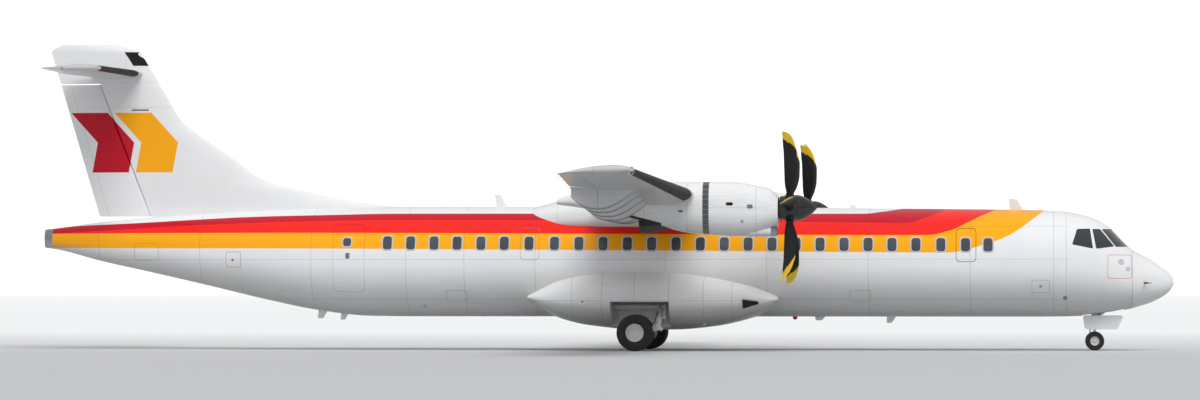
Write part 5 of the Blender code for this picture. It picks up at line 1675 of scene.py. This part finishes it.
def fittings():
    aerials = [blade_aerial("aerial", -2.45, 3.42, 0.30, 0.26),
               blade_aerial("aerial", 9.88, 3.33, 0.27, 0.34),
               blade_aerial("aerial", 6.0, 3.37, 0.10, 0.20),
               blade_aerial("aerial", -6.78, 0.97, 0.22, 0.24, up=-1.0),
               blade_aerial("aerial", -6.25, 0.90, 0.18, 0.20, up=-1.0),
               blade_aerial("aerial", 6.9, 0.81, 0.16, 0.22, up=-1.0),
               blade_aerial("aerial", 5.2, 0.81, 0.10, 0.26, up=-1.0)]
    add(join("aerials", aerials), "white")
    # beacon on the fin, and one under the belly
    dome = [(0.0, 0.075), (0.03, 0.07), (0.05, 0.05), (0.056, 0.02), (0.056, 0.0), (0.0, 0.0)]
    lamps = [dress(turned("dome", dome, 32,
                          Matrix.Translation((4.6, 0, 0.80)) @ Matrix.Rotation(math.pi, 4, "X")), "red_lens"),
             dress(turned("dome", [(r, h * 0.9) for r, h in dome], 32, Matrix.Translation((-12.35, 0, 7.30))),
                   "red_lens")]
    for name, side in SIDES:
        spot = Vector(wing_point(BOOT_END_Y + 0.05, side, 0.055, 0.0))
        aim = Vector((0.75, 0.60 * side, -0.05)).to_track_quat("Z", "Y").to_matrix().to_4x4()
        bezel = turned("bezel",
                       [(0.070, -0.03), (0.088, -0.01), (0.090, 0.010), (0.080, 0.018), (0.070, 0.010)], 36,
                       Matrix.Translation(spot) @ aim, closed=True)
        glass = turned("lens",
                [(0.0, 0.045), (0.030, 0.041), (0.055, 0.030), (0.072, 0.010), (0.072, -0.02), (0.0, -0.02)],
                       36, Matrix.Translation(spot) @ aim)
        bulb = turned("bulb", [(0.0, 0.058), (0.012, 0.055), (0.018, 0.044), (0.018, 0.030), (0.0, 0.030)],
                      20,
                      Matrix.Translation(spot) @ aim)
        lamps += [dress(bezel, "chrome"), dress(glass, "cockpit_glass"),
                  dress(bulb, "green_lens" if side < 0 else "red_lens")]
    add(join("lights", lamps), "=red_lens")
    # static wicks on wing and tailplane
    wicks = []
    for name, side in SIDES:
        for y in (10.2, 11.2, 12.2, 12.9, 13.3):
            _, _, chord, _ = wing_section(y)
            start = Vector(wing_point(y, side, chord - 0.02, 0.0))
            body = "aileron_" + name if y < 13.1 else "airframe"
            wicks.append((body, cylinder("wick", start, start + Vector((-0.14, 0, -0.01)), 0.003, 8)))
        for y in (2.2, 2.9, 3.4):
            lead_x, chord = tail_section(y)
            start = Vector((lead_x - chord + 0.02, y * side, TAIL_Z))
            wicks.append(("elevator_" + name,
                          cylinder("wick", start, start + Vector((-0.12, 0, 0)), 0.003, 8)))
    for body in sorted({b for b, _ in wicks}):
        add(join("wicks_" + body, [w for b, w in wicks if b == body]), "dark", body)
    # pitot probes at the nose
    probes = []
    for name, side in SIDES:
        y = skin_y(12.90, 1.60) * side
        base = Vector((12.90, y, 1.60))
        out = base + Vector((0.02, 0.09 * side, 0))
        probes.append(dress(cylinder("mast", base - Vector((0, 0.02 * side, 0)), out, 0.016, 16),
                            "panel_grey"))
        probes.append(dress(cylinder("head", out + Vector((-0.05, 0, 0)), out + Vector((0.05, 0, 0)), 0.022,
                                     20, 0.016), "dark"))
        probes.append(dress(cylinder("cover", out + Vector((0.05, 0, 0)), out + Vector((0.14, 0, 0)), 0.014,
                                     16, 0.008), "red_mark"))
    add(join("probes", probes), "=panel_grey")


def belly_point(x, z, side, lift):
    low, high, half = (float(np.interp(x, BELLY_SMOOTH[:, 0], BELLY_SMOOTH[:, k])) for k in (1, 2, 3))
    share = min(0.999, abs(z - (low + high) / 2) / ((high - low) / 2))
    y = half * (1 - share ** BELLY_POWER) ** (1 / BELLY_POWER)
    return Vector((x, (y + lift) * side, z))


def belly_details():
    bits = []
    rim = ((1.0, 0.002), (0.97, 0.012), (0.90, 0.012), (0.87, 0.006))
    plate = ((1.0, 0.001), (0.97, 0.006), (0.9, 0.006), (0.88, 0.003))
    for _, side in SIDES:
        lamp = soft_polygon([(3.42, 1.24), (3.83, 1.19), (3.86, 1.09), (3.42, 0.95)], 0.03)
        inner = soft_polygon([(3.45, 1.21), (3.80, 1.165), (3.825, 1.105), (3.45, 0.99)], 0.02)
        for label, outline, levels, look in (
            ("lamp_rim", dense(lamp), rim, "rim"), ("lamp", dense(inner), ((1.0, 0.008),), "dark"),
            ("hatch", dense(rounded_rect(1.30, 1.36, 0.34, 0.20, 0.03)), plate, "lower_white"),
            ("aft_hatch", dense(rounded_rect(-0.33, 1.16, 0.26, 0.18, 0.03)), plate, "lower_white"),
            ("dot", rounded_rect(-0.33, 1.16, 0.05, 0.05, 0.024), ((1.0, 0.004), (0.8, 0.010)), "red_mark"),
        ):
            bits.append(dress(patch(label, outline, side, levels, place=belly_point), look))
    add(join("belly_fairing_details", bits), "=rim")


fuselage()
cabin_windows()
seam_lines()
small_marks()
wings()
fairings()
nacelles()
propellers()
tail()
gear()
insides()
fittings()
belly_details()
for side_name, _ in SIDES:
    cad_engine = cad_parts["engine_" + side_name]
    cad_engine.data.materials.clear()
    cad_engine.data.materials.append(MATERIALS["dark_metal"])


# ---------------------------------------------------------------- floor, backdrop and light
FLOOR_FLAT = 780.0          # radius of the flat part; the other views stand several hundred metres away
FLOOR_BEND = 60.0           # radius of the bend between floor and wall
FLOOR_BEND_STEPS = 16
FLOOR_WALL = 160.0          # height of the wall
FLOOR_STEPS = 128
FLOOR_NEAR = (0.56, 0.57, 0.58)
FLOOR_FAR = (0.93, 0.935, 0.94)
SKY_LOW = (0.86, 0.87, 0.88)
SKY_HIGH = (0.96, 0.98, 1.0)
SKY_STRENGTH = 0.50
LAMP_DISTANCE = 60.0
LAMPS = (                   # name, elevation, azimuth, apparent size (degrees), power
    ("key", 52.0, 20.0, 35.0, 1.9),
    ("fill", 25.0, -35.0, 60.0, 0.35),
)


def stage():
    """The round studio floor with its far wall, the sky and two lamps."""
    work = bmesh.new()
    profile = [(r, 0.0) for r in (20.0, 60.0, 200.0, 500.0, FLOOR_FLAT)]
    for k in range(1, FLOOR_BEND_STEPS + 1):
        a = math.pi / 2 * k / FLOOR_BEND_STEPS
        profile.append((FLOOR_FLAT + FLOOR_BEND * math.sin(a), FLOOR_BEND * (1 - math.cos(a))))
    profile.append((FLOOR_FLAT + FLOOR_BEND, FLOOR_WALL))
    steps = FLOOR_STEPS
    rows = [[work.verts.new((r * math.cos(2 * math.pi * i / steps), r * math.sin(2 * math.pi * i / steps), z))
             for i in range(steps)] for r, z in profile]
    work.faces.new(rows[0])
    for near, far in zip(rows, rows[1:]):
        for i in range(steps):
            j = (i + 1) % steps
            work.faces.new((near[i], far[i], far[j], near[j]))
    mesh = bpy.data.meshes.new("floor")
    work.normal_update()
    work.to_mesh(mesh)
    work.free()
    mesh.shade_smooth()
    floor = link("floor", mesh)
    material = bpy.data.materials.new("floor_grey")
    material.use_nodes = True
    shader = material.node_tree.nodes["Principled BSDF"]
    n = Nodes(material.node_tree)
    vector = n.add("TexCoord").outputs["Object"]
    cloud = n.math("MULTIPLY", n.noise(vector, 0.05, 4.0), 0.04)
    depth = n.spread(n.split(vector)[1], -8.0, 45.0)
    n.put(shader.inputs["Base Color"], n.mix(n.math("ADD", depth, cloud, clamp=True), FLOOR_NEAR, FLOOR_FAR))
    shader.inputs["Roughness"].default_value = 0.75
    floor.data.materials.append(material)

    world = bpy.data.worlds.new("studio")
    bpy.context.scene.world = world
    world.use_nodes = True
    n = Nodes(world.node_tree)
    back = world.node_tree.nodes["Background"]
    up = n.split(n.add("TexCoord").outputs["Generated"])[2]
    n.put(back.inputs["Color"], n.mix(n.spread(up, -0.2, 1.0), SKY_LOW, SKY_HIGH))
    back.inputs["Strength"].default_value = SKY_STRENGTH
    for name, elevation, azimuth, spread, power in LAMPS:
        data = bpy.data.lights.new(name, "SUN")
        data.energy = power
        data.angle = math.radians(spread)
        lamp = bpy.data.objects.new(name, data)
        lamp.visible_glossy = False
        bpy.context.scene.collection.objects.link(lamp)
        lift, turn = math.radians(elevation), math.radians(azimuth)
        at = Vector((math.cos(lift) * math.sin(turn), -math.cos(lift) * math.cos(turn), math.sin(lift)))
        lamp.location = at * LAMP_DISTANCE
        lamp.rotation_euler = at.to_track_quat("Z", "Y").to_euler()


stage()
